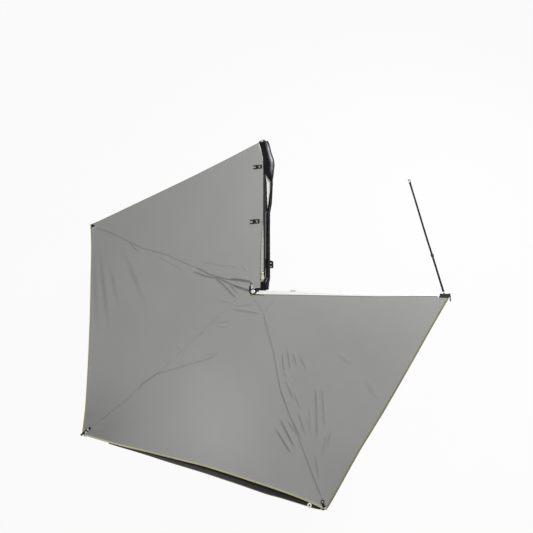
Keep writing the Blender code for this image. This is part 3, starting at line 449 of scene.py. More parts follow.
# The direction of the retention strap, along which its webbing is woven.
STRAP_TURN = math.radians(5.8)
FINISHES = {
    "canvas": canvas("grey_canvas", CANVAS_GREY, CANVAS_DUST),
    "edge_canvas": canvas("taped_grey_canvas", CANVAS_GREY, CANVAS_DUST, taped=True),
    "hem_canvas": plain_cloth("pale_hem_canvas", (0.42, 0.42, 0.39), (0.36, 0.36, 0.33)),
    "lining": plain_cloth("pale_bag_lining", (0.74, 0.74, 0.72), (0.60, 0.60, 0.58), 30.0),
    "tan": plain_cloth("tan_binding", (0.21, 0.115, 0.035), (0.04, 0.03, 0.02), 40.0),
    # The olive binding has a different tone on each edge.
    "rail_binding": plain_cloth("dark_olive_binding", (0.16, 0.155, 0.085), (0.27, 0.265, 0.19), 5.0),
    "side_binding": plain_cloth("thin_olive_binding", (0.36, 0.315, 0.085), (0.27, 0.235, 0.060), 6.0),
    "back_binding": plain_cloth("wide_olive_binding", (0.52, 0.49, 0.32), (0.36, 0.35, 0.21), 3.0),
    "last_binding": plain_cloth("muted_olive_binding", (0.21, 0.193, 0.095), (0.34, 0.315, 0.150), 3.0),
    # The bag's second colour is its painted highlight.
    "bag": coated_cloth("black_coated_cloth", (0.005, 0.005, 0.007), (0.88, 0.88, 0.93)),
    "valance": valance_cloth("black_valance_cloth"),
    "black_cloth": plain_cloth("black_patch_cloth", (0.008, 0.008, 0.008), (0.03, 0.03, 0.03)),
    "steel": plated("zinc_steel", (0.72, 0.73, 0.74), (0.50, 0.50, 0.50)),
    "hub_steel": plated("bright_hub_steel", (0.86, 0.86, 0.86), (0.66, 0.66, 0.65), 0.22),
    "coated_steel": powder_coated("black_coated_steel", (0.012, 0.013, 0.015), (0.45, 0.45, 0.45)),
    "coated_rail": powder_coated("black_coated_aluminium", (0.030, 0.030, 0.032), (0.40, 0.40, 0.40)),
    "plastic": moulded("black_plastic", (0.009, 0.009, 0.009), (0.06, 0.06, 0.06), gloss=0.15),
    "nylon": moulded("white_nylon", (0.80, 0.80, 0.78), (0.64, 0.63, 0.60), 0.35),
    "beige": moulded("beige_plastic", (0.66, 0.58, 0.44), (0.50, 0.44, 0.34), 0.5),
    "strap": webbing("black_webbing", (0.010, 0.010, 0.011), (0.07, 0.07, 0.07), STRAP_TURN),
    "tab_canvas": plain_cloth("grey_tab_canvas", (0.29, 0.285, 0.27), (0.34, 0.33, 0.31)),
    "grey_plastic": moulded("grey_plastic", (0.16, 0.165, 0.18), (0.26, 0.26, 0.27), 0.4),
}
# The die lines of the rail and of each arm run along it.
for turn, carrier in zip(TURNS, CARRIERS):
    word = f"extrusion_{carrier}"
    FINISHES[word] = extruded(f"mill_aluminium_{carrier}", (0.90, 0.905, 0.91), turn)


def dress(piece, *words):
    """Gives a piece its finishes, one for each of its material slots."""
    slots = piece.data.materials
    slots.clear()
    for word in words:
        slots.append(FINISHES[word])
    return piece


def carry(piece, body, word):
    """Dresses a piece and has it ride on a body."""
    dress(piece, word)
    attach(piece, body)
    return piece


# Mesh making


def new_piece(name, points, faces, smooth=True):
    mesh = bpy.data.meshes.new(name)
    mesh.from_pydata([tuple(map(float, p)) for p in points], [], faces)
    mesh.validate()
    if smooth:
        mesh.shade_smooth()
    piece = bpy.data.objects.new(name, mesh)
    bpy.context.scene.collection.objects.link(piece)
    return piece


def grid_faces(rows, columns, closed=False, looped=False):
    """Quads of a grid of points; closed joins its last column to its first, looped its last row."""
    faces = []
    for row in range(rows if looped else rows - 1):
        here = row * columns
        there = (row + 1) % rows * columns
        for column in range(columns if closed else columns - 1):
            beside = (column + 1) % columns
            faces.append((here + column, here + beside, there + beside, there + column))
    return faces


def end_caps(rows, columns):
    """The faces that close the first and the last row of a closed grid."""
    last_row = (rows - 1) * columns
    return [tuple(range(columns))[::-1], tuple(last_row + column for column in range(columns))]


def closed_skin(name, rings):
    """A piece from rings of points, closed at both ends."""
    rows, columns = rings.shape[:2]
    faces = grid_faces(rows, columns, closed=True) + end_caps(rows, columns)
    return new_piece(name, rings.reshape(-1, 3), faces)


def mark_points(piece, word, values):
    """Stores a number, or a vector, at each point of a piece for its finish to read."""
    vector = values.ndim == 3
    kind = "FLOAT_VECTOR" if vector else "FLOAT"
    attribute = piece.data.attributes.new(word, kind, "POINT")
    flat = np.ascontiguousarray(values, dtype=np.float32).ravel()
    attribute.data.foreach_set("vector" if vector else "value", flat)


def sheet_piece(name, grid, **marks):
    """A sheet from a grid of points, with its marks."""
    rows, columns = grid.shape[:2]
    piece = new_piece(name, grid.reshape(-1, 3), grid_faces(rows, columns))
    for word, values in marks.items():
        mark_points(piece, word, values)
    return piece


def placed_rings(line, across, up, outline):
    """An outline of (across, up) points at each point of a line."""
    outline = np.array(outline)
    return line[:, None] + across * outline[None, :, :1] + up * outline[None, :, 1:]


def unit_steps(line):
    """The direction of a line at each of its points."""
    ahead = np.gradient(line, axis=0)
    return ahead / np.linalg.norm(ahead, axis=1)[:, None]


def swept(name, line, outline):
    """An outline carried along a line that runs about level, kept upright."""
    ahead = unit_steps(line)
    side = np.cross(ahead, (0.0, 0.0, 1.0))
    side /= np.linalg.norm(side, axis=1)[:, None]
    up = np.cross(side, ahead)
    return closed_skin(name, placed_rings(line, side[:, None], up[:, None], outline))


def bent(name, line, outline):
    """An outline carried along a line that turns in one upright plane, kept level across."""
    flat = (line[-1] - line[0]) * (1, 1, 0)
    across = np.cross((0.0, 0.0, 1.0), flat / np.linalg.norm(flat))
    up = np.cross(unit_steps(line), across)
    return closed_skin(name, placed_rings(line, across, up[:, None], outline))


def flat_outline(width, thickness):
    """A strap's section with rounded edges."""
    half, thin = width / 2 - thickness / 2, thickness / 2
    turns = np.radians((-90, -45, 0, 45, 90))
    right = [(half + thin * math.cos(turn), thin * math.sin(turn)) for turn in turns]
    return right + [(-x, -y) for x, y in right]


def curved(points, count):
    """A smooth curve through the points, as count points along it."""
    points = np.asarray(points, float)
    padded = np.vstack([2 * points[0] - points[1], points, 2 * points[-1] - points[-2]])
    spots = np.linspace(0, len(points) - 1, count)
    first = np.minimum(spots.astype(int), len(points) - 2)
    t = (spots - first)[:, None]
    a, b, c, d = (padded[first + i] for i in range(4))
    return 0.5 * (2 * b + (c - a) * t + (2 * a - 5 * b + 4 * c - d) * t**2 + (3 * b - a - 3 * c + d) * t**3)


def clipped(value):
    """The value, kept between 0 and 1."""
    return np.clip(value, 0.0, 1.0)


def bell(value, middle, width):
    """1 in the middle, fading out on both sides."""
    return np.exp(-(((value - middle) / width) ** 2))


def read_off(table, where):
    """What a table of (place, value) pairs says at other places."""
    places, values = np.array(table).T
    return np.interp(where, places, values)


def soften(piece, width, segments=2):
    bevel = piece.modifiers.new("soft_edges", "BEVEL")
    bevel.width = width
    bevel.segments = segments
    bevel.limit_method = "ANGLE"
    return piece


def thicken(piece, thickness):
    solidify = piece.modifiers.new("thickness", "SOLIDIFY")
    solidify.thickness = thickness
    solidify.offset = -1.0
    return piece


def outline_plate(name, outline, low, high):
    """A flat plate with that outline between two levels."""
    count = len(outline)
    points = [(x, y, level) for level in (low, high) for x, y in outline]
    sides = [(i, (i + 1) % count, (i + 1) % count + count, i + count) for i in range(count)]
    bottom = tuple(range(count))[::-1]
    top = tuple(i + count for i in range(count))
    return new_piece(name, points, [bottom, top, *sides], smooth=False)


def ring_piece(name, radius, wire, centre, around=28, across=8):
    """A round ring of wire lying flat at its centre."""
    points = []
    for turn in (2 * math.pi * i / around for i in range(around)):
        for tilt in (2 * math.pi * j / across for j in range(across)):
            reach = radius + wire * math.cos(tilt)
            spot = Vector((reach * math.cos(turn), reach * math.sin(turn), wire * math.sin(tilt)))
            points.append(centre + spot)
    return new_piece(name, points, grid_faces(around, across, closed=True, looped=True))


# Camera, as fitted to the photograph

PHOTO_PIXELS = 533
CAMERA_PLACE = (0.6319, -2.2642, 4.4766)
CAMERA_TURN = (26.425, 8.541, 0.036)
FOCAL_PIXELS = 462.49
SENSOR = 36.0


def make_camera():
    camera = bpy.data.cameras.new("photo_camera")
    camera.sensor_width = SENSOR
    camera.lens = FOCAL_PIXELS / PHOTO_PIXELS * SENSOR
    holder = bpy.data.objects.new("photo_camera", camera)
    holder.location = CAMERA_PLACE
    holder.rotation_euler = [math.radians(turn) for turn in CAMERA_TURN]
    bpy.context.scene.collection.objects.link(holder)
    bpy.context.scene.camera = holder


# Retention strap

STRAP_LINK = Vector((1.72892, -0.45892, 0.0852))
STRAP_END = Vector((1.59351, 0.87422, 0.0572))
STRAP_WIDTH = 0.020
STRAP_LAYER = 0.0016
STRAP_SAG = 0.0035
STRAP_WAVER = 0.0012
# The strap's end, sewn round the link or the hook: metres back along the strap, metres above it.
STRAP_FOLD = (
    (0.075, 0.0023), (0.040, 0.0026), (0.008, 0.0030), (-0.0030, 0.0022),
    (-0.0045, 0.0), (-0.0010, -0.0022), (0.010, -0.0022),
)


def make_strap():
    """A taut webbing strap, sewn round the link at one end and round the hook at the other."""
    section = flat_outline(STRAP_WIDTH, STRAP_LAYER)
    shares = np.linspace(0.0, 1.0, 57)
    start, end = np.array(STRAP_LINK), np.array(STRAP_END)
    path = start + (end - start) * shares[:, None]
    path[:, 2] -= STRAP_SAG * 4 * shares * (1 - shares)
    path[:, 0] += STRAP_WAVER * np.sin(shares * 9.0) * np.sin(math.pi * shares)
    strap = carry(swept("strap_web", path, section), "strap", "strap")
    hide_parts("strap_webbing")
    along = (end - start) / np.linalg.norm(end - start)
    for word, anchor, inward in (("link", start, along), ("hook", end, -along)):
        wrap = [anchor + inward * back + (0, 0, rise) for back, rise in STRAP_FOLD]
        fold = bent(f"strap_fold_{word}", curved(wrap, 36), section)
        carry(fold, "strap", "strap")


# Canopy cloth

# Width and height of each fold, then its points: degrees from the rail, metres from the hub pin.
FOLDS = (
    # the seam of the first arm, and the pleats it runs out into
    (0.009, 0.0030, ((63.6, 2.13), (63.3, 1.90), (63.6, 1.68), (64.3, 1.43), (62.7, 1.10), (63.0, 0.74))),
    (0.010, 0.0042, ((62.4, 0.73), (64.3, 0.52), (59.4, 0.314), (44.6, 0.199), (15.3, 0.119))),
    (0.011, 0.0050, ((67.0, 0.73), (67.8, 0.56), (64.8, 0.41), (67.2, 0.256), (69.5, 0.17), (72.1, 0.037))),
    (0.015, 0.0060, ((59.4, 0.314), (44.6, 0.199), (15.3, 0.119))),
    (0.015, 0.0066, ((67.2, 0.256), (69.5, 0.17), (72.1, 0.037))),
    (0.013, 0.0050, ((63.5, 0.489), (76.8, 0.296), (114.8, 0.182))),
    (0.011, 0.0038, ((66.5, 0.281), (79.0, 0.205), (103.9, 0.139))),
    (0.014, 0.0020, ((56.6, 0.71), (27.6, 0.33))),
    (0.010, 0.0020, ((21.7, 0.35), (12.9, 0.23))),
    # long soft folds across the second panel's far corner
    (0.030, 0.0036, ((65.5, 1.7), (98.6, 1.12))),
    (0.028, 0.0040, ((68.7, 1.95), (106.8, 1.56))),
    (0.032, 0.0032, ((72.0, 1.76), (99.0, 1.42))),
    (0.036, 0.0032, ((69.6, 2.0), (107.1, 1.69))),
    # a small loop and a second line beside the first arm's seam
    (0.008, 0.0036, ((63.6, 1.65), (65.9, 1.483), (66.2, 1.42))),
    (0.008, 0.0028, ((65.1, 1.205), (66.5, 1.022), (68.6, 0.83))),
    # short folds that fan out behind the hub
    (0.010, 0.0022, ((100.1, 0.38), (120.6, 0.24))),
    (0.010, 0.0026, ((124.8, 0.27), (194.9, 0.15))),
    (0.009, 0.0040, ((129.3, 0.291), (162.6, 0.225), (201.0, 0.275))),
    (0.010, 0.0024, ((247.4, 0.264), (226.0, 0.251), (204.8, 0.284))),
    (0.010, 0.0024, ((129.4, 0.51), (150.3, 0.36))),
    (0.010, 0.0022, ((132.4, 0.54), (150.4, 0.43))),
    # the seam of the second arm
    (0.010, 0.0034, (
        (130.9, 1.50), (130.3, 1.39), (130.8, 1.27), (133.0, 1.18),
        (139.4, 0.99), (144.0, 0.89), (148.7, 0.81), (152.6, 0.72),
    )),
    (0.008, 0.0028, ((144.1, 0.81), (152.0, 0.71))),
    (0.010, 0.0026, ((129.0, 0.62), (130.9, 0.71))),
    (0.008, 0.0026, ((124.7, 0.95), (129.9, 0.94))),
    (0.009, 0.0018, ((124.7, 1.41), (128.8, 1.48))),
    # the seam of the third arm
    (0.009, 0.0028, (
        (203.1, 0.28), (198.5, 0.67), (195.4, 1.03), (195.9, 1.23), (196.9, 1.58), (197.7, 2.03),
    )),
    # short puckers on both sides of the third arm
    (0.008, 0.0044, ((204.7, 0.72), (199.9, 0.93))),
    (0.009, 0.0038, ((209.4, 0.72), (203.9, 0.93))),
    (0.009, 0.0034, ((211.5, 0.77), (208.3, 0.94))),
    (0.010, 0.0032, ((214.4, 0.82), (211.8, 1.01))),
    (0.009, 0.0038, ((195.2, 1.03), (195.9, 1.24))),
    (0.009, 0.0034, ((199.5, 0.98), (200.0, 1.20))),
    (0.009, 0.0032, ((201.1, 1.10), (201.0, 1.30))),
    (0.010, 0.0056, ((191.9, 1.30), (194.7, 1.58))),
    (0.010, 0.0050, ((189.4, 1.37), (193.2, 1.63))),
    (0.009, 0.0042, ((196.1, 1.32), (197.7, 1.55))),
    (0.009, 0.0040, ((199.8, 1.29), (199.3, 1.51))),
    (0.009, 0.0030, ((202.0, 1.38), (201.2, 1.53))),
    (0.009, 0.0030, ((204.6, 1.31), (201.8, 1.47))),
    (0.011, 0.0038, ((211.1, 1.18), (202.5, 1.57))),
    (0.011, 0.0034, ((213.6, 1.21), (206.2, 1.52))),
    (0.012, 0.0030, ((208.0, 1.55), (203.9, 1.69))),
    (0.010, 0.0034, ((200.2, 1.67), (198.6, 1.87))),
    (0.009, 0.0036, ((194.5, 1.32), (196.4, 1.48))),
    (0.009, 0.0030, ((206.1, 1.38), (201.9, 1.58))),
    (0.008, 0.0032, ((206.0, 1.57), (201.7, 1.73))),
    (0.008, 0.0034, ((199.7, 0.89), (201.0, 0.97))),
    (0.020, 0.0026, ((230.4, 1.04), (229.7, 1.27))),
    (0.022, 0.0028, ((229.0, 1.39), (225.5, 1.66))),
)
# A fold rises and fades out over this length, and a soft one, wider than SOFT_FOLD, over half its own.
FOLD_FADE = 0.07
SOFT_FOLD = 0.015
# How much higher and narrower than written the folds are made.
FOLD_RISE = 1.5
FOLD_WIDTH = 0.85
# How much of its height a sharp fold keeps at its ends.
FOLD_END = 0.15
# The height from which the painted shade in a fold's crease is fully dark.
DARK_FOLD = 0.0046
# Darkness and width of the painted shade in a crease beside those of its fold, in a sharp and in a soft one.
SHARP_CREASE = (1.0, 0.75)
SOFT_CREASE = (0.55, 0.9)
# Pleats that end nearer the hub pin than this are held there, and the painted shade in their creases may be
# this much darker.
HUB_PLEATS = 0.13
HELD_DARK = 1.7


def heading(degrees):
    """The direction of an angle that grows from the rail towards the arms."""
    turn = np.radians(degrees)
    return np.stack([-np.sin(turn), np.cos(turn)], axis=-1)


def along_line(flat, points):
    """How far each point is from a fold's line, how far along it, and how long the line is."""
    angles, reaches = np.array(points).T
    line = heading(angles) * reaches[:, None]
    near = np.full(flat.shape[:-1], np.inf)
    at = np.zeros(near.shape)
    run = 0.0
    for first, last in zip(line[:-1], line[1:]):
        step = last - first
        length = np.linalg.norm(step)
        share = clipped(((flat - first) @ step) / length**2)
        away = np.linalg.norm(flat - first - share[..., None] * step, axis=-1)
        at = np.where(away < near, run + share * length, at)
        near = np.minimum(away, near)
        run += length
    return near, at, run


def fold_shape(flat):
    """How far the folds lift the cloth, and how dark the painted shade in their creases is, at points seen
    from the hub pin.
    """
    lift = np.zeros(flat.shape[:-1])
    crease = np.zeros(flat.shape[:-1])
    for width, height, points in FOLDS:
        near, at, run = along_line(flat, points)
        soft = width > SOFT_FOLD
        held = points[-1][1] < HUB_PLEATS
        to_end = np.minimum(at, run if held else run - at)
        fade = clipped(to_end / (run / 2 if soft else min(FOLD_FADE, run / 2)))
        fade = fade * fade * (3 - 2 * fade)
        if not soft:
            fade = FOLD_END + (1 - FOLD_END) * fade
        lift = np.maximum(lift, height * FOLD_RISE * fade * bell(near, 0.0, width * FOLD_WIDTH))
        # The painted shade in the crease: darkest on high folds and on held pleats.
        depth = min((height / DARK_FOLD) ** 2, HELD_DARK if held else 1.0) * fade
        dark, spread = SOFT_CREASE if soft else SHARP_CREASE
        crease = np.maximum(crease, depth * dark * bell(near, 0.0, width * spread))
    return lift, crease


DRIFT_LINES = [curved(drift, 60) for drift in SEAM_DRIFTS]


def seam_shade(panel, share, along):
    """How strong the painted shade on a panel's seam lines is: 1, but less on the second arm's seam nearer
    the hub.
    """
    beside = {1: share > 0.5, 2: share < 0.5}.get(panel, share < 0.0)
    return 1 - beside * np.interp(along, FAINT_SEAM, (FAINTNESS, 0.0))


def seam_drift(carrier, along):
    """How far the seam over the rail (0) or over an arm (1 to 4) strays from its groove."""
    return read_off(DRIFT_LINES[carrier], along)


def fan_point(panel, share, along, side):
    """A point of the fan, from the hub pin: a share across a panel, along it and to its side."""
    turn = TURNS[panel] + SWINGS[panel] * share
    x = side * np.cos(turn) - along * np.sin(turn)
    y = side * np.sin(turn) + along * np.cos(turn)
    return np.stack([x, y], axis=-1)


def grooved(panel, share, along):
    """A point of the fan as its grooves hold it."""
    side = GROOVES[panel] + (GROOVES[panel + 1] - GROOVES[panel]) * share
    return fan_point(panel, share, along, side)


def spoke_point(panel, share, along):
    """The same point of the cloth, whose seams stray a little from the grooves."""
    first = GROOVES[panel] + seam_drift(panel, along)
    last = GROOVES[panel + 1] + seam_drift(panel + 1, along)
    return fan_point(panel, share, along, first + (last - first) * share)


def cross(a, b):
    """The area that two flat vectors span."""
    return a[..., 0] * b[..., 1] - a[..., 1] * b[..., 0]


def edge_reach(panel, share, curve=None):
    """How far along its spoke a panel's outer edge lies, with its curve beyond the straight line."""
    first = grooved(panel, 0.0, CORNERS[panel])
    last = grooved(panel, 1.0, CORNERS[panel + 1])
    start = grooved(panel, share, 0.0)
    ahead = grooved(panel, share, 1.0) - start
    reach = cross(first - start, last - first) / cross(ahead, last - first)
    return reach + read_off(curved(curve or EDGE_CURVES[panel], 90), share)


# Heights of the cloth's slow waves and of its fine ripple, and how high their middle lies.
WAVE_HEIGHT = 0.0030
RIPPLE_HEIGHT = 0.0006
WAVE_LEVEL = 0.0036


def cloth_level(flat, share, run, lift):
    """The cloth's height: level on its lines, a little lower between, lifted by folds."""
    slack = 4 * share * (1 - share) * clipped(4 * run * (1 - run))
    x, y = flat[..., 0], flat[..., 1]
    reach = np.hypot(x, y)
    drift = np.sin(x * 7.1 + y * 3.3 + 0.6) * np.sin(x * 2.9 - y * 6.2 + 1.1)
    ripple = np.sin(x * 17.0 - y * 11.0) * np.sin(x * 9.0 + y * 21.0 + 0.4)
    soft = (drift * WAVE_HEIGHT + ripple * RIPPLE_HEIGHT + WAVE_LEVEL) * clipped(slack * 1.6)
    return CLOTH_LEVEL - CLOTH_SAG * slack + soft * clipped(reach) + lift


def fade_at(flat):
    """How much paler or darker the cloth is at points seen from the hub pin."""
    total = np.zeros(flat.shape[:-1])
    for angle, reach, radius, change in FADES:
        away = np.linalg.norm(flat - heading(angle) * reach, axis=-1)
        total += change * bell(away, 0.0, radius)
    return total


# The first panel leaves the rail's groove near its front corner: from which share of its run, and how
# far across it curls by the end.
CURL_START = 0.76
CURL_END = 0.0257


def curl_share(run):
    """How far across the first panel its curling edge lies."""
    beyond = clipped((run - CURL_START) / (1 - CURL_START))
    return CURL_END * beyond**2.2


def fan_weights(piece, share, panel):
    """Works out each point's share of the swing between the panel's two carriers, bakes the piece's transform
    and puts its points back; nothing turns them.
    """
    mesh = piece.data
    true = np.zeros(len(mesh.vertices) * 3)
    mesh.vertices.foreach_get("co", true)
    ramp = np.zeros((len(mesh.vertices), 3))
    ramp[:, 0] = 0.5 - np.sin(np.arcsin(1 - 2 * clipped(share.ravel())) / 3)
    mesh.vertices.foreach_set("co", ramp.ravel())
    CARRIERS[panel + 1]
    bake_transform(piece)
    mesh.vertices.foreach_set("co", true)
    mesh.update()


PANEL_COLUMNS = 190
PANEL_ROWS = 230
HUB_ROWS = 8
# The last panel, which has the tape along its arm.
TAPED_PANEL = 3
# Side distances of the close grid lines beside a seam and across the tape, and those along the hem.
SEAM_STEPS = np.array([0.0, 0.0045, SEAM_ROW, 0.0125])
TAPE_STEPS = np.array([0.0, 0.0080, 0.0160, 0.0245, 0.0290, 0.0340])
HEM_STEPS = np.array([0.0, HEM_ROWS[1], 0.012, 0.0215, 0.024])
# The most of a panel's width that the close lines take at its first and at its last side.
FIRST_ROOM = 0.10
LAST_ROOM = 0.14
# The hem is turned over this far from the edge, which raises the cloth there.
HEM_FOLD = HEM_STEPS[3] + 1e-4
HEM_RAISE = 0.0006
# Width and finish of the binding round each panel's outer edge.
BINDINGS = (
    (0.0065, "rail_binding"),
    (0.0115, "side_binding"),
    (0.0140, "back_binding"),
    (0.0150, "last_binding"),
)
BINDING_THICKNESS = 0.0028
BINDING_OUTSIDE = 0.0018
BINDING_RISE = 0.0003


def panel_shares(reach, last_steps):
    """Shares across a panel: close lines beside each seam, then evener ones between."""
    first = np.minimum(SEAM_STEPS / reach / SWINGS[0], FIRST_ROOM * SEAM_STEPS / SEAM_STEPS[-1])
    last = np.minimum(last_steps / reach / SWINGS[0], LAST_ROOM * last_steps / last_steps[-1])
    u = np.linspace(0.0, 1.0, PANEL_COLUMNS)[1:-1]
    even = 0.6 * u + 0.4 * (0.5 - 0.5 * np.cos(math.pi * u))
    inner = first[-1] + (1 - first[-1] - last[-1]) * even
    return np.concatenate([first, inner, 1 - last[::-1]])


def hub_rows(first_row):
    """Rows of cloth that carry a panel's first row in to the hub."""
    turn = np.degrees(np.arctan2(-first_row[:, 0], first_row[:, 1]))
    turn = (turn + 90.0) % 360.0 - 90.0
    inner = heading(turn) * read_off(HUB_EDGE, turn)[:, None]
    steps = np.linspace(0.0, 1.0, HUB_ROWS + 1)[:-1, None, None]
    return inner + (first_row - inner) * steps


def panel_lines(panel):
    """A panel's grid without its hub rows: share across, metres along and metres from the outer edge."""
    near_first, near_last = PANEL_STARTS[panel]
    runs = np.linspace(0.0, 1.0, PANEL_ROWS) ** 0.85
    reach = 0.06 + max(CORNERS[panel : panel + 2]) * runs
    last_steps = TAPE_STEPS if panel == TAPED_PANEL else SEAM_STEPS
    share = np.array([panel_shares(r, last_steps) for r in reach])
    if panel == TAPED_PANEL:
        on_arm = near_last + (CORNERS[4] - near_last) * runs
        cut_back = 1 - SLEEVE_ROOM / (SLEEVE_REACH * SWINGS[3])
        share *= np.where(on_arm > SLEEVE_START, cut_back, 1.0)[:, None]
    run = np.repeat(runs[:, None], share.shape[1], axis=1)
    if panel == 0:
        share = curl_share(run) + (1 - curl_share(run)) * share
    start = near_first + (near_last - near_first) * share
    limit = edge_reach(panel, share) - HEM_STEPS[-1] * 1.6
    along = start + (np.maximum(limit, start + 0.01) - start) * run
    tail = np.repeat(share[-1:], len(HEM_STEPS), axis=0)
    share = np.vstack([share, tail])
    along = np.vstack([along, edge_reach(panel, tail) - HEM_STEPS[::-1][:, None]])
    return share, along, edge_reach(panel, share) - along


def with_hub_rows(values):
    """Values for the rows that lead in to the hub, as those of the first row."""
    return np.vstack([np.repeat(values[:1], HUB_ROWS, axis=0), values])


def panel_marks(panel, flat, share, along, from_hem, crease):
    """The numbers that the canvas's finish reads at each point."""
    first, second = TURNS[panel : panel + 2]
    middle = (first + second) / 2
    across = flat @ (math.cos(middle), math.sin(middle))
    ahead = flat @ (-math.sin(middle), math.cos(middle))
    to_first = flat @ (math.cos(first), math.sin(first)) - GROOVES[panel] - seam_drift(panel, along)
    to_last = flat @ (math.cos(second), math.sin(second)) - GROOVES[panel + 1]
    to_last = to_last - seam_drift(panel + 1, along)
    marks = {
        "cut": np.dstack([across, ahead, 0 * across]),
        "from_seam": np.minimum(np.abs(to_first), np.abs(to_last)),
        "from_hem": from_hem,
        "crease": crease,
        "fade": fade_at(flat),
        "seam_shade": seam_shade(panel, share, along),
    }
    if panel == TAPED_PANEL:
        marks["from_seam"] = np.abs(to_first)
        marks["from_tape"] = to_last - read_off(TAPE, along)
    return marks


def make_panel(panel):
    """One panel of cloth from the hub to its hem, with its binding."""
    share, along, from_hem = panel_lines(panel)
    start = PANEL_STARTS[panel][0]
    run = clipped((along - start) / (along + from_hem - start))
    flat = spoke_point(panel, share, along)
    flat = np.concatenate([hub_rows(flat[0]), flat])
    share, along, run, from_hem = (with_hub_rows(values) for values in (share, along, run, from_hem))
    run[:HUB_ROWS] = 0.0
    lift, crease = fold_shape(flat)
    level = cloth_level(flat, share, run, lift) + HEM_RAISE * (from_hem < HEM_FOLD)
    grid = np.dstack([flat + np.array(HUB), level])
    marks = panel_marks(panel, flat, share, along, from_hem, crease)
    cloth = sheet_piece(f"canopy_cloth_{panel + 1}", grid, **marks)
    thicken(cloth, CLOTH_THICKNESS)
    fan_weights(cloth, share, panel)
    dress(cloth, "edge_canvas" if panel == TAPED_PANEL else "canvas")
    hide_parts(f"canopy_panel_{panel + 1}")
    binding = make_binding(panel, share[-1], level[-1])
    declare_panel(flat)


def make_binding(panel, share, level):
    """A folded tape sewn round a panel's outer edge."""
    width, word = BINDINGS[panel]
    along = edge_reach(panel, share) - width / 2 + BINDING_OUTSIDE
    flat = spoke_point(panel, share, along) + np.array(HUB)
    section = flat_outline(width, BINDING_THICKNESS)
    binding = swept(f"edge_binding_{panel + 1}", np.column_stack([flat, level + BINDING_RISE]), section)
    fan_weights(binding, np.repeat(share[:, None], len(section), axis=1), panel)
    dress(binding, word)
    return binding


def area_of(flat):
    """The area of a grid of flat points."""
    across = flat[1:, 1:] - flat[:-1, :-1]
    back = flat[1:, :-1] - flat[:-1, 1:]
    return float(np.abs(cross(across, back)).sum() / 2)


def declare_panel(flat):
    """Works out the length of the panel's flat cut, as long as its long side, and keeps nothing."""
    edge = flat[-1]
    chord = (edge[-1] - edge[0]) / np.linalg.norm(edge[-1] - edge[0])
    length = float(np.abs(cross(flat - edge[0], chord)).max())


# Valance

VALANCE_PANEL = 2
# Its span in shares of that panel's edge, its grid, how far it reaches under the canopy, and its
# least width.
VALANCE_SPAN = (0.10, 0.985)
VALANCE_ROWS = 11
VALANCE_COLUMNS = 120
VALANCE_UNDER = 0.006
VALANCE_LEAST = 0.008
# How far the valance's own outer edge lies outside the straight line, at shares of it.
VALANCE_CURVE = (
    (0.0, 0.0), (0.12, 0.004), (0.2, 0.001), (0.28, 0.001), (0.36, 0.004), (0.52, 0.005),
    (0.64, 0.011), (0.72, 0.017), (0.80, 0.026), (0.86, 0.025), (0.93, 0.030), (0.97, 0.032), (1.0, 0.016),
)
# Where its eyelet sits: degrees from the rail, metres from the hub pin.
VALANCE_RING = (194.4, 2.047)


def make_valance():
    """The black strip behind the bowed edge between the second and the third arm."""
    share = np.repeat(np.linspace(*VALANCE_SPAN, VALANCE_COLUMNS)[None, :], VALANCE_ROWS, axis=0)
    across = np.linspace(0.0, 1.0, VALANCE_ROWS)[:, None]
    near = edge_reach(VALANCE_PANEL, share) - VALANCE_UNDER
    far = np.maximum(edge_reach(VALANCE_PANEL, share, VALANCE_CURVE), near + VALANCE_LEAST)
    flat = spoke_point(VALANCE_PANEL, share, near + (far - near) * across)
    wave = 0.0009 * np.sin(share * 70.0) * across + 0.0006 * np.sin(share * 31.0 + 2.0)
    level = ARM_TOP - 0.0012 - 0.0016 * across + wave
    grid = np.dstack([flat + np.array(HUB), level])
    valance = sheet_piece("valance_cloth", grid, across=across + 0 * share, way=share)
    thicken(valance, CLOTH_THICKNESS)
    fan_weights(valance, share, VALANCE_PANEL)
    dress(valance, "valance")
    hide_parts("valance")


# Bag cover

# Distance ahead of the hub pin; the bag's left side, its underside and its width there.
BAG_STATIONS = (
    (0.006, 0.0830, 0.1162, 0.086),
    (0.050, 0.0825, 0.1162, 0.090),
    (0.098, 0.0825, 0.1162, 0.094),
    (0.112, 0.1150, 0.1145, 0.066),
    (0.160, 0.1380, 0.0900, 0.043),
    (0.700, 0.1380, 0.0900, 0.043),
    (0.960, 0.1390, 0.0900, 0.044),
    (1.085, 0.1580, 0.0905, 0.045),
    (1.200, 0.1680, 0.0930, 0.042),
    (1.340, 0.1850, 0.1000, 0.032),
    (1.385, 0.1900, 0.1120, 0.028),
    (1.400, 0.1830, 0.1145, 0.036),
    (1.460, 0.1500, 0.1145, 0.078),
    (1.530, 0.1120, 0.1145, 0.122),
    (1.620, 0.1065, 0.1145, 0.136),
    (1.700, 0.1035, 0.1145, 0.132),
    (1.820, 0.0900, 0.1145, 0.1140),
    (1.900, 0.0745, 0.1145, 0.1155),
    (1.960, 0.0590, 0.1145, 0.1180),
    (2.003, 0.0450, 0.1145, 0.1150),
)
BAG_HEIGHT = 0.020
# The bag's height comes in over this length at both its ends.
BAG_END = 0.03
# Metres ahead of the hub pin where the roll starts to open into the flap and where the flap's painted
# highlight starts, and the length over which each comes in.
FLAP_START = 1.39
SHEEN_START = 1.45
BAG_CHANGE = 0.12
# Where the painted highlight has ended, and over which length it fades out before.
SHEEN_END = 2.0
SHEEN_FADE = 0.08
# Middle and width of the flap's crest and of its dip, in shares across it, and of the painted
# highlight's brightest stretch, in metres ahead of the hub pin.
BAG_CREST = (0.76, 0.15)
BAG_DIP = (0.34, 0.20)
SHEEN_PEAK = (1.735, 0.10)


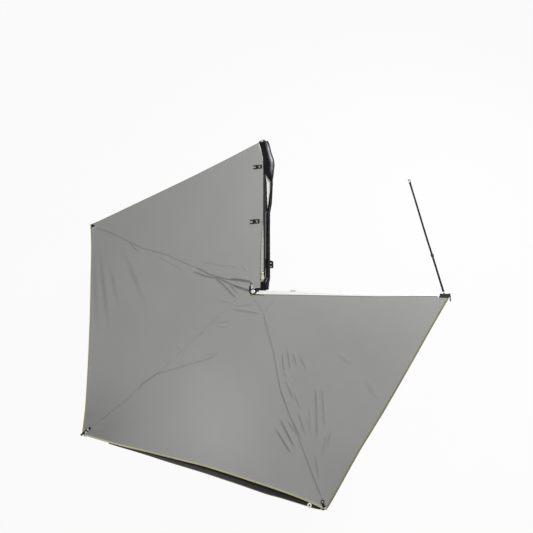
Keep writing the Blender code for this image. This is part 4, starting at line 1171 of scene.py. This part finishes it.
def bag_left(ahead):
    """The left side of the rolled bag at distances ahead of the hub pin."""
    known = np.array(BAG_STATIONS)
    return np.interp(ahead, known[:, 0], known[:, 1])


def from_hub(x, y, z):
    """A grid of points: x to the side of the hub pin, y ahead of it along the rail, z up."""
    return np.dstack([x + HUB.x, np.broadcast_to(y, x.shape) + HUB.y, z])


def make_bag():
    """The open bag: a crumpled roll beside the rail, and a flap over it towards the front."""
    known = np.array(BAG_STATIONS)
    ahead = np.linspace(known[0, 0], known[-1, 0], 260)
    left, low, wide = (np.interp(ahead, known[:, 0], known[:, i])[:, None] for i in (1, 2, 3))
    y = ahead[:, None]
    around = np.linspace(0.0, 2 * math.pi, 40, endpoint=False)[None, :]
    across = 0.5 - 0.5 * np.cos(around)
    creep = 0.0022 * np.sin(y * 23.0 + 2.0 * np.sin(y * 9.0)) + 0.0014 * np.sin(y * 61.0)
    x = left + wide * across + creep * np.sin(around) * 0.5
    flapness = clipped((y - FLAP_START) / BAG_CHANGE)
    roll = np.sin(around) ** 2
    crest = bell(across, *BAG_CREST)
    flap = 0.38 + 0.62 * crest - 0.20 * bell(across, *BAG_DIP)
    crumple = 0.10 * np.sin(across * 19.0 + y * 31.0) * np.sin(y * 47.0 + 1.0)
    top = (roll * (1 - flapness) + flap * flapness * clipped(roll * 3.0)) * (0.88 + crumple)
    over_side = around < math.pi
    ends = clipped(np.minimum(y - ahead[0], ahead[-1] - y) / BAG_END) ** 0.5
    height = np.where(over_side, top, 0.10 - 0.10 * roll) * ends
    z = low + BAG_HEIGHT * clipped(height)
    bag = closed_skin("bag_shell", from_hub(x, y, z))
    # The painted highlight along the flap's crest.
    shine = clipped((y - SHEEN_START) / BAG_CHANGE) * clipped((SHEEN_END - y) / SHEEN_FADE)
    shine = shine * (0.55 + 0.45 * bell(y, *SHEEN_PEAK))
    mark_points(bag, "painted_highlight", np.where(over_side, crest, 0.0) ** 2 * shine)
    carry(bag, "root", "bag")
    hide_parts("bag_cover")


# Small sewn and moulded pieces


def over(x, y, z):
    """A point measured from the hub pin: to the side of the rail, ahead along it, up."""
    return Vector((HUB.x + x, HUB.y + y, z))


def out(degrees, reach, z):
    """A point seen from the hub pin: degrees from the rail, metres, height."""
    x, y = heading(degrees) * reach
    return Vector((HUB.x + x, HUB.y + y, z))


def flat_strap(name, points, width, thickness, body, word, slot):
    """A flat strip of webbing or tape that lies along a line of points."""
    return carry(swept(name, curved(points, 24), flat_outline(width, thickness)), body, word)


def turned_knob(name, centre, profile, body, word, around=28):
    """A round piece from a profile of radius and height over its seat."""
    turns = np.linspace(0.0, 2 * math.pi, around, endpoint=False)
    rings = [[centre + Vector((r * math.cos(t), r * math.sin(t), h)) for t in turns] for r, h in profile]
    return carry(closed_skin(name, np.array(rings)), body, word)


# The flap's left and its right line: metres ahead of the hub pin, metres to the side.
FLAP_LEFT = ((0.102, 0.0790), (0.22, 0.0785), (0.40, 0.0810), (0.58, 0.0860), (0.72, 0.0930), (0.84, 0.1010))
FLAP_RIGHT = ((0.102, 0.1125), (0.60, 0.1115), (0.84, 0.1060))


def make_rail_flap():
    """The cloth's loose edge, folded back over the rail towards the hub, with its bound line."""
    y = np.linspace(FLAP_LEFT[0][0], FLAP_LEFT[-1][0], 90)[:, None]
    left = read_off(FLAP_LEFT, y)
    right = read_off(FLAP_RIGHT, y)
    across = np.linspace(0.0, 1.0, 8)[None, :]
    x = left + (right - left) * across
    ripple = 0.0005 * np.sin(y * 43.0) * np.sin(across * 3.1)
    z = CLOTH_LEVEL + 0.0016 + 0.0012 * np.sin(across * math.pi) - 0.0010 * across**3 + ripple
    grid = from_hub(x, y, z)
    flap = thicken(sheet_piece("rail_edge_flap", grid), 0.0008)
    carry(flap, "root", "hem_canvas")
    line = grid[:, 0] + (0.0, 0.0, 0.0002)
    bound = swept("rail_edge_binding", line, flat_outline(0.0052, 0.0022))
    carry(bound, "root", "rail_binding")


STRIP_SAG = 0.004
# Side distance from the hub pin to where the bag's side starts, right beside the rail.
RAIL_SIDE = 0.1305
# The levels of the bag's side and of its lining.
SIDE_LEVEL = 0.1050
LINING_LEVEL = 0.1062
# How far the bag's side and its lining reach over the roll.
SIDE_OVERLAP = 0.010
LINING_OVERLAP = 0.006
# The lining's line towards the rail: metres ahead of the hub pin, metres to the side.
LINING_LEFT = ((1.02, 0.156), (1.20, 0.1490), (1.38, 0.1450), (1.47, 0.1330))


def strip_between(name, y, left, right, level):
    """A sheet between two lines beside the rail, hanging a little between them, and its area."""
    across = np.linspace(0.0, 1.0, 8)[None, :]
    y = y[:, None]
    x = left[:, None] + (right - left)[:, None] * across
    z = level - STRIP_SAG * np.sin(across * math.pi) + 0 * y
    grid = from_hub(x, y, z)
    return thicken(sheet_piece(name, grid), 0.0006), round(area_of(grid[..., :2]), 4)


def make_bag_lining():
    """The bag's side between the rail and the roll, and the pale lining that shows on it."""
    y = np.linspace(0.98, 1.47, 44)
    left = np.full(y.shape, RAIL_SIDE)
    side, area = strip_between("bag_side", y, left, bag_left(y) + SIDE_OVERLAP, SIDE_LEVEL)
    carry(side, "root", "black_cloth")
    y = np.linspace(1.02, 1.47, 40)
    left = read_off(LINING_LEFT, y)
    lining, area = strip_between("bag_lining", y, left, bag_left(y) + LINING_OVERLAP, LINING_LEVEL)
    carry(lining, "root", "lining")


def make_front_strap():
    """The strap from the cloth's front corner to the rail's front cap."""
    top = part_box("rail_front_cap")[1].z
    spots = (
        (0.046, 2.000, 0.0045), (0.070, 2.012, 0.0042), (0.095, 2.026, 0.0022), (0.122, 2.0265, 0.0012),
    )
    points = [over(x, y, top + rise) for x, y, rise in spots]
    flat_strap("corner_strap", points, 0.0095, 0.0016, "root", "black_cloth", "black_webbing")


# Metres to the side of the hub pin and ahead of it: the knob's middle and the toggle's narrow end.
KNOB_SPOT = (0.1030, 0.2030)
TOGGLE_SPOT = (0.1050, 0.1870)


def make_rear_pull():
    """The white knob and the beige toggle on the rail's rear end, and the loop beside them."""
    seat = CLOTH_LEVEL + 0.0020
    dome = (
        (0.0075, 0.0), (0.0105, 0.0020), (0.0120, 0.0060),
        (0.0108, 0.0100), (0.0070, 0.0125), (0.0020, 0.0134),
    )
    turned_knob("pull_knob", over(*KNOB_SPOT, seat), dome, "root", "nylon")
    outline = (
        (-0.008, 0.0), (0.008, 0.0), (0.0175, -0.045), (0.0150, -0.062),
        (0.0, -0.067), (-0.0150, -0.062), (-0.0175, -0.045),
    )
    shape = [over(TOGGLE_SPOT[0] + x, TOGGLE_SPOT[1] + y, 0.0).xy for x, y in outline]
    toggle = soften(outline_plate("pull_toggle", shape, seat, seat + 0.0110), 0.0035, 3)
    carry(toggle, "root", "beige")
    bend = (
        (0.134, 0.078, 0.1375), (0.144, 0.096, 0.1385), (0.151, 0.116, 0.1340), (0.156, 0.134, 0.1290),
    )
    line = [over(*spot) for spot in bend]
    flat_strap("bag_pull", line, 0.007, 0.0035, "root", "grey_plastic", "black_plastic")


def make_hem_stripe():
    """The pale sewn stripe inside the curved corner at the rail's front."""
    spots = ((0.0465, 1.980), (0.0620, 1.935), (0.0770, 1.870), (0.0890, 1.790), (0.0950, 1.700))
    points = [over(x, y, CLOTH_LEVEL + 0.0009) for x, y in spots]
    flat_strap("corner_stripe", points, 0.0085, 0.0012, "root", "hem_canvas", "grey_canvas")


def make_buckle_straps():
    """Black webbing under each buckle, through which the cloth doesn't show."""
    for word in ("rear", "front"):
        low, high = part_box(f"{word}_buckle")
        middle = (low.y + high.y) / 2
        points = [Vector((x, middle, low.z - 0.0012)) for x in np.linspace(low.x + 0.030, high.x - 0.010, 5)]
        flat_strap(f"{word}_buckle_web", points, 0.026, 0.0016, "root", "black_cloth", "black_webbing")


def sewn_on(piece, panel, word):
    """A small piece sewn to a panel's cloth: works out its shares of that panel's swing, and dresses it."""
    spots = np.array([v.co[:2] for v in piece.data.vertices]) - np.array(HUB)
    turns = np.arctan2(-spots[:, 0], spots[:, 1]) % (2 * math.pi)
    fan_weights(piece, (turns - TURNS[panel]) / SWINGS[panel], panel)
    dress(piece, word)


def make_hub_edges():
    """Tapes round the cloth's edge at the hub pin: black on the rail's side, where it also stands in for the
    shade in the gap there, and tan below.
    """
    # The black tape is partly painted shade: it darkens the gap beside the pin.
    black = (CLOTH_LEVEL - 0.0019, flat_outline(0.0250, 0.0012), "black_cloth", "black_webbing")
    tan = (CLOTH_LEVEL + 0.0008, flat_outline(0.0120, 0.0018), "tan", "grey_canvas")
    tapes = {
        "hub_edging_1": (*black, ((-0.0380, 0.1150), (-0.0350, 0.08), (-0.0310, 0.0400), (-0.0325, 0.0130))),
        "hub_edging_2": (*black, ((-0.0325, 0.0130), (-0.0330, 0.0), (-0.0250, -0.0280))),
        "hub_binding_1": (*tan, ((-0.0310, -0.0350), (-0.0120, -0.0390), (0.0100, -0.04), (0.0125, -0.0402))),
        "hub_binding_2": (*tan, ((0.0125, -0.0402), (0.0340, -0.0420), (0.0750, -0.0455), (0.1180, -0.0510))),
    }
    for panel, (name, (level, section, word, slot, spots)) in enumerate(tapes.items()):
        line = curved([over(x, y, level) for x, y in spots], 24)
        sewn_on(swept(name, line, section), panel, word)


def make_pin_washer():
    """The bright washer under the hub pin's head, on a black pad."""
    washer = ((0.0165, 0.0), (0.0225, 0.0), (0.0225, 0.0020), (0.0165, 0.0026))
    turned_knob("hub_washer", over(0.0, 0.0, CLOTH_LEVEL - 0.0022), washer, "root", "steel")
    pad = ((0.0165, 0.0), (0.0350, 0.0), (0.0345, 0.0009), (0.0165, 0.0009))
    turned_knob("hub_pad", over(0.0, 0.0, CLOTH_LEVEL - 0.0031), pad, "root", "black_cloth")


# The level of what is sewn on the canopy's corners.
KIT_LEVEL = CLOTH_LEVEL + 0.0012


def kit_strap(name, angle, reaches, rise, section, body, word="black_cloth", slot="black_webbing"):
    """A short strap on a canopy corner, straight out from the hub."""
    points = [out(angle, reach, KIT_LEVEL + rise) for reach in reaches]
    return flat_strap(name, points, *section, body, word, slot)


def kit_ring(name, radius, wire, angle, reach, rise, body, word):
    """A ring or an eyelet on a canopy corner."""
    ring = ring_piece(name, radius, wire, out(angle, reach, KIT_LEVEL + rise))
    return carry(ring, body, word)


def make_third_corner():
    """The webbing, the black ring with its stud and the eyelet at the third arm's end."""
    points = [out(a, r, KIT_LEVEL + 0.0012) for a, r in ((197.55, 2.058), (197.5, 2.075), (197.55, 2.099))]
    flat_strap("corner_c_strap", points, 0.017, 0.0018, "arm_c", "black_cloth", "black_webbing")
    kit_strap("corner_c_patch", 197.5, (2.084, 2.100, 2.113), 0.0, (0.036, 0.0018), "arm_c")
    kit_ring("corner_c_ring", 0.0115, 0.0042, 197.6, 2.052, 0.0030, "arm_c", "plastic")
    seat = ((0.0080, 0.0), (0.0075, 0.0020), (0.0020, 0.0028))
    turned_knob("corner_c_stud", out(197.6, 2.052, KIT_LEVEL), seat, "arm_c", "nylon")
    kit_ring("corner_c_eyelet", 0.0062, 0.0030, 197.75, 2.103, 0.0036, "arm_c", "nylon")


def make_second_corner():
    """The webbing with its two eyelets and its moulded end at the second arm's end."""
    kit_strap("corner_b_strap", 130.3, (2.050, 2.085, 2.125), 0.0, (0.026, 0.0018), "arm_b")
    for index, (angle, reach) in enumerate(((130.5, 2.106), (130.3, 2.077))):
        name = f"corner_b_eyelet_{index + 1}"
        kit_ring(name, 0.0062, 0.0025, angle, reach, 0.0030, "arm_b", "nylon")
    section = (0.020, 0.0034)
    reaches = (2.118, 2.135, 2.160)
    kit_strap("corner_b_end", 130.2, reaches, 0.0004, section, "arm_b", "plastic", "black_plastic")


def make_first_corner():
    """The patch, the pale tab and the eyelet at the first arm's end."""
    corner = [out(a, r, 0.0).xy for a, r in ((63.1, 2.150), (63.2, 2.205), (64.6, 2.192))]
    patch = outline_plate("corner_a_patch", corner, KIT_LEVEL - 0.0008, KIT_LEVEL + 0.0010)
    carry(soften(patch, 0.0006), "arm_a", "black_cloth")
    points = [out(a, r, KIT_LEVEL) for a, r in ((62.9, 2.128), (64.1, 2.150), (65.0, 2.158))]
    flat_strap("corner_a_tab", points, 0.016, 0.0016, "arm_a", "hem_canvas", "grey_canvas")
    kit_ring("corner_a_eyelet", 0.0050, 0.0022, 63.6, 2.166, 0.0026, "arm_a", "plastic")


def make_valance_eyelet():
    eyelet = ring_piece("valance_eyelet", 0.0130, 0.0062, out(*VALANCE_RING, ARM_TOP + 0.0048))
    sewn_on(eyelet, VALANCE_PANEL, "nylon")


# Distance from the hub pin along the last arm, and radius, of its three stops.
ARM_STOPS = ((0.282, 0.006), (0.898, 0.011), (1.021, 0.010))
ARM_SIDE = -0.0050


def on_last_arm(piece, word):
    """Moves a piece made beside the rail to its place beside the last arm."""
    piece.data.transform(Matrix.Translation((*HUB, 0.0)) @ Matrix.Rotation(TURNS[4], 4, "Z"))
    carry(piece, "arm_d", word)


def make_arm_stops():
    """Stops on the last arm's front side, and the beige tab near its hub."""
    turns = np.linspace(0.0, math.pi, 9)[::-1]
    for index, (reach, radius) in enumerate(ARM_STOPS):
        shape = [(ARM_SIDE - 1.25 * radius * math.sin(t), reach + radius * math.cos(t)) for t in turns]
        stop = outline_plate(f"arm_d_stop_{index + 1}", shape, ARM_TOP - 0.020, ARM_TOP + 0.0015)
        on_last_arm(soften(stop, 0.002), "nylon")
    shape = ((ARM_SIDE, 0.388), (ARM_SIDE, 0.452), (-0.0230, 0.446), (-0.0250, 0.420), (-0.0230, 0.392))
    tab = outline_plate("arm_d_tab", shape, ARM_TOP - 0.012, ARM_TOP + 0.0012)
    on_last_arm(soften(tab, 0.002), "beige")


# What is on the frame already


def dress_frame():
    """Gives every CAD node its finish, by what its name says."""
    for name, node in NODES.items():
        carrier = next((c for c in CARRIERS[1:] if name.startswith(c)), "root")
        if name.endswith(("_tube", "_knuckle")) or name == "rail_front_cap":
            word = f"extrusion_{carrier}"
        elif name == "backing_rail":
            word = "coated_rail"
        elif name in ("rear_bracket", "front_bracket", "strap_hook", "hub_bracket"):
            word = "coated_steel"
        elif name.startswith("hub_"):
            word = "hub_steel"
        elif "bearing" in name:
            word = "nylon"
        elif name.endswith(("_bolt_1", "_bolt_2", "_nut_1", "_nut_2", "_cross_pin", "_ring", "_link")):
            word = "steel"
        elif name.endswith("_strap_tab"):
            word = "tab_canvas"
        else:
            word = "plastic"
        dress(node, word)


# Stage and light


FLOOR_LEVEL = -1.9
FLOOR_GREY = (0.9, 0.9, 0.9)
# How nearly white the floor looks, and how brightly the air lights the object.
FLOOR_WHITE = 0.92
AIR_LIGHT = 0.48
# Place, size and power of each lamp.
LAMPS = {
    "key": ((3.6, 2.2, 3.4), 1.8, 230.0),
    "fill": ((-3.0, -3.5, 4.0), 3.0, 60.0),
}
LAMP_AIM = Vector((-0.3, -0.4, 0.0))


def seen_plainly(nodes):
    """1 where the backdrop is seen, also in metal or glass, and 0 where it lights the object."""
    words = ("Camera", "Glossy", "Transmission")
    camera, glossy, clear = (nodes.node("ShaderNodeLightPath", output=f"Is {word} Ray") for word in words)
    return camera.larger(glossy).larger(clear)


def make_stage():
    """A pale floor that keeps the object's shadow and looks nearly white."""
    bpy.ops.mesh.primitive_plane_add(size=60.0, location=(0.0, 0.0, FLOOR_LEVEL))
    floor = bpy.context.active_object
    floor.name = "floor"
    material = bpy.data.materials.new("pale_floor")
    material.use_nodes = True
    material.node_tree.nodes.clear()
    nodes = Nodes(material.node_tree)
    matt = nodes.node("ShaderNodeBsdfDiffuse", None, {"Color": FLOOR_GREY})
    white = nodes.node("ShaderNodeEmission")
    share = seen_plainly(nodes) * FLOOR_WHITE
    mixed = nodes.node("ShaderNodeMixShader", None, {0: share, 1: matt, 2: white})
    nodes.node("ShaderNodeOutputMaterial", None, {"Surface": mixed})
    floor.data.materials.append(material)


def make_lights():
    """Soft light from all round, a large key lamp and a fill lamp."""
    world = bpy.data.worlds.new("studio")
    bpy.context.scene.world = world
    world.use_nodes = True
    world.node_tree.nodes.clear()
    nodes = Nodes(world.node_tree)
    air = nodes.node("ShaderNodeBackground", None, {"Strength": AIR_LIGHT})
    backdrop = nodes.node("ShaderNodeBackground")
    mixed = nodes.node("ShaderNodeMixShader", None, {0: seen_plainly(nodes), 1: air, 2: backdrop})
    nodes.node("ShaderNodeOutputWorld", None, {"Surface": mixed})
    for name, (spot, size, power) in LAMPS.items():
        lamp = bpy.data.lights.new(name, "AREA")
        lamp.shape = "DISK"
        lamp.size = size
        lamp.energy = power
        holder = bpy.data.objects.new(name, lamp)
        holder.location = spot
        holder.rotation_euler = (LAMP_AIM - Vector(spot)).to_track_quat("-Z", "Y").to_euler()
        bpy.context.scene.collection.objects.link(holder)


make_camera()
make_strap()
for panel in range(len(EDGE_CURVES)):
    make_panel(panel)
make_valance()
make_bag()
make_bag_lining()
make_rail_flap()
make_rear_pull()
make_hem_stripe()
make_buckle_straps()
make_hub_edges()
make_pin_washer()
make_front_strap()
make_third_corner()
make_second_corner()
make_first_corner()
make_valance_eyelet()
make_arm_stops()
dress_frame()
make_stage()
make_lights()
bpy.context.scene.view_settings.view_transform = "Standard"
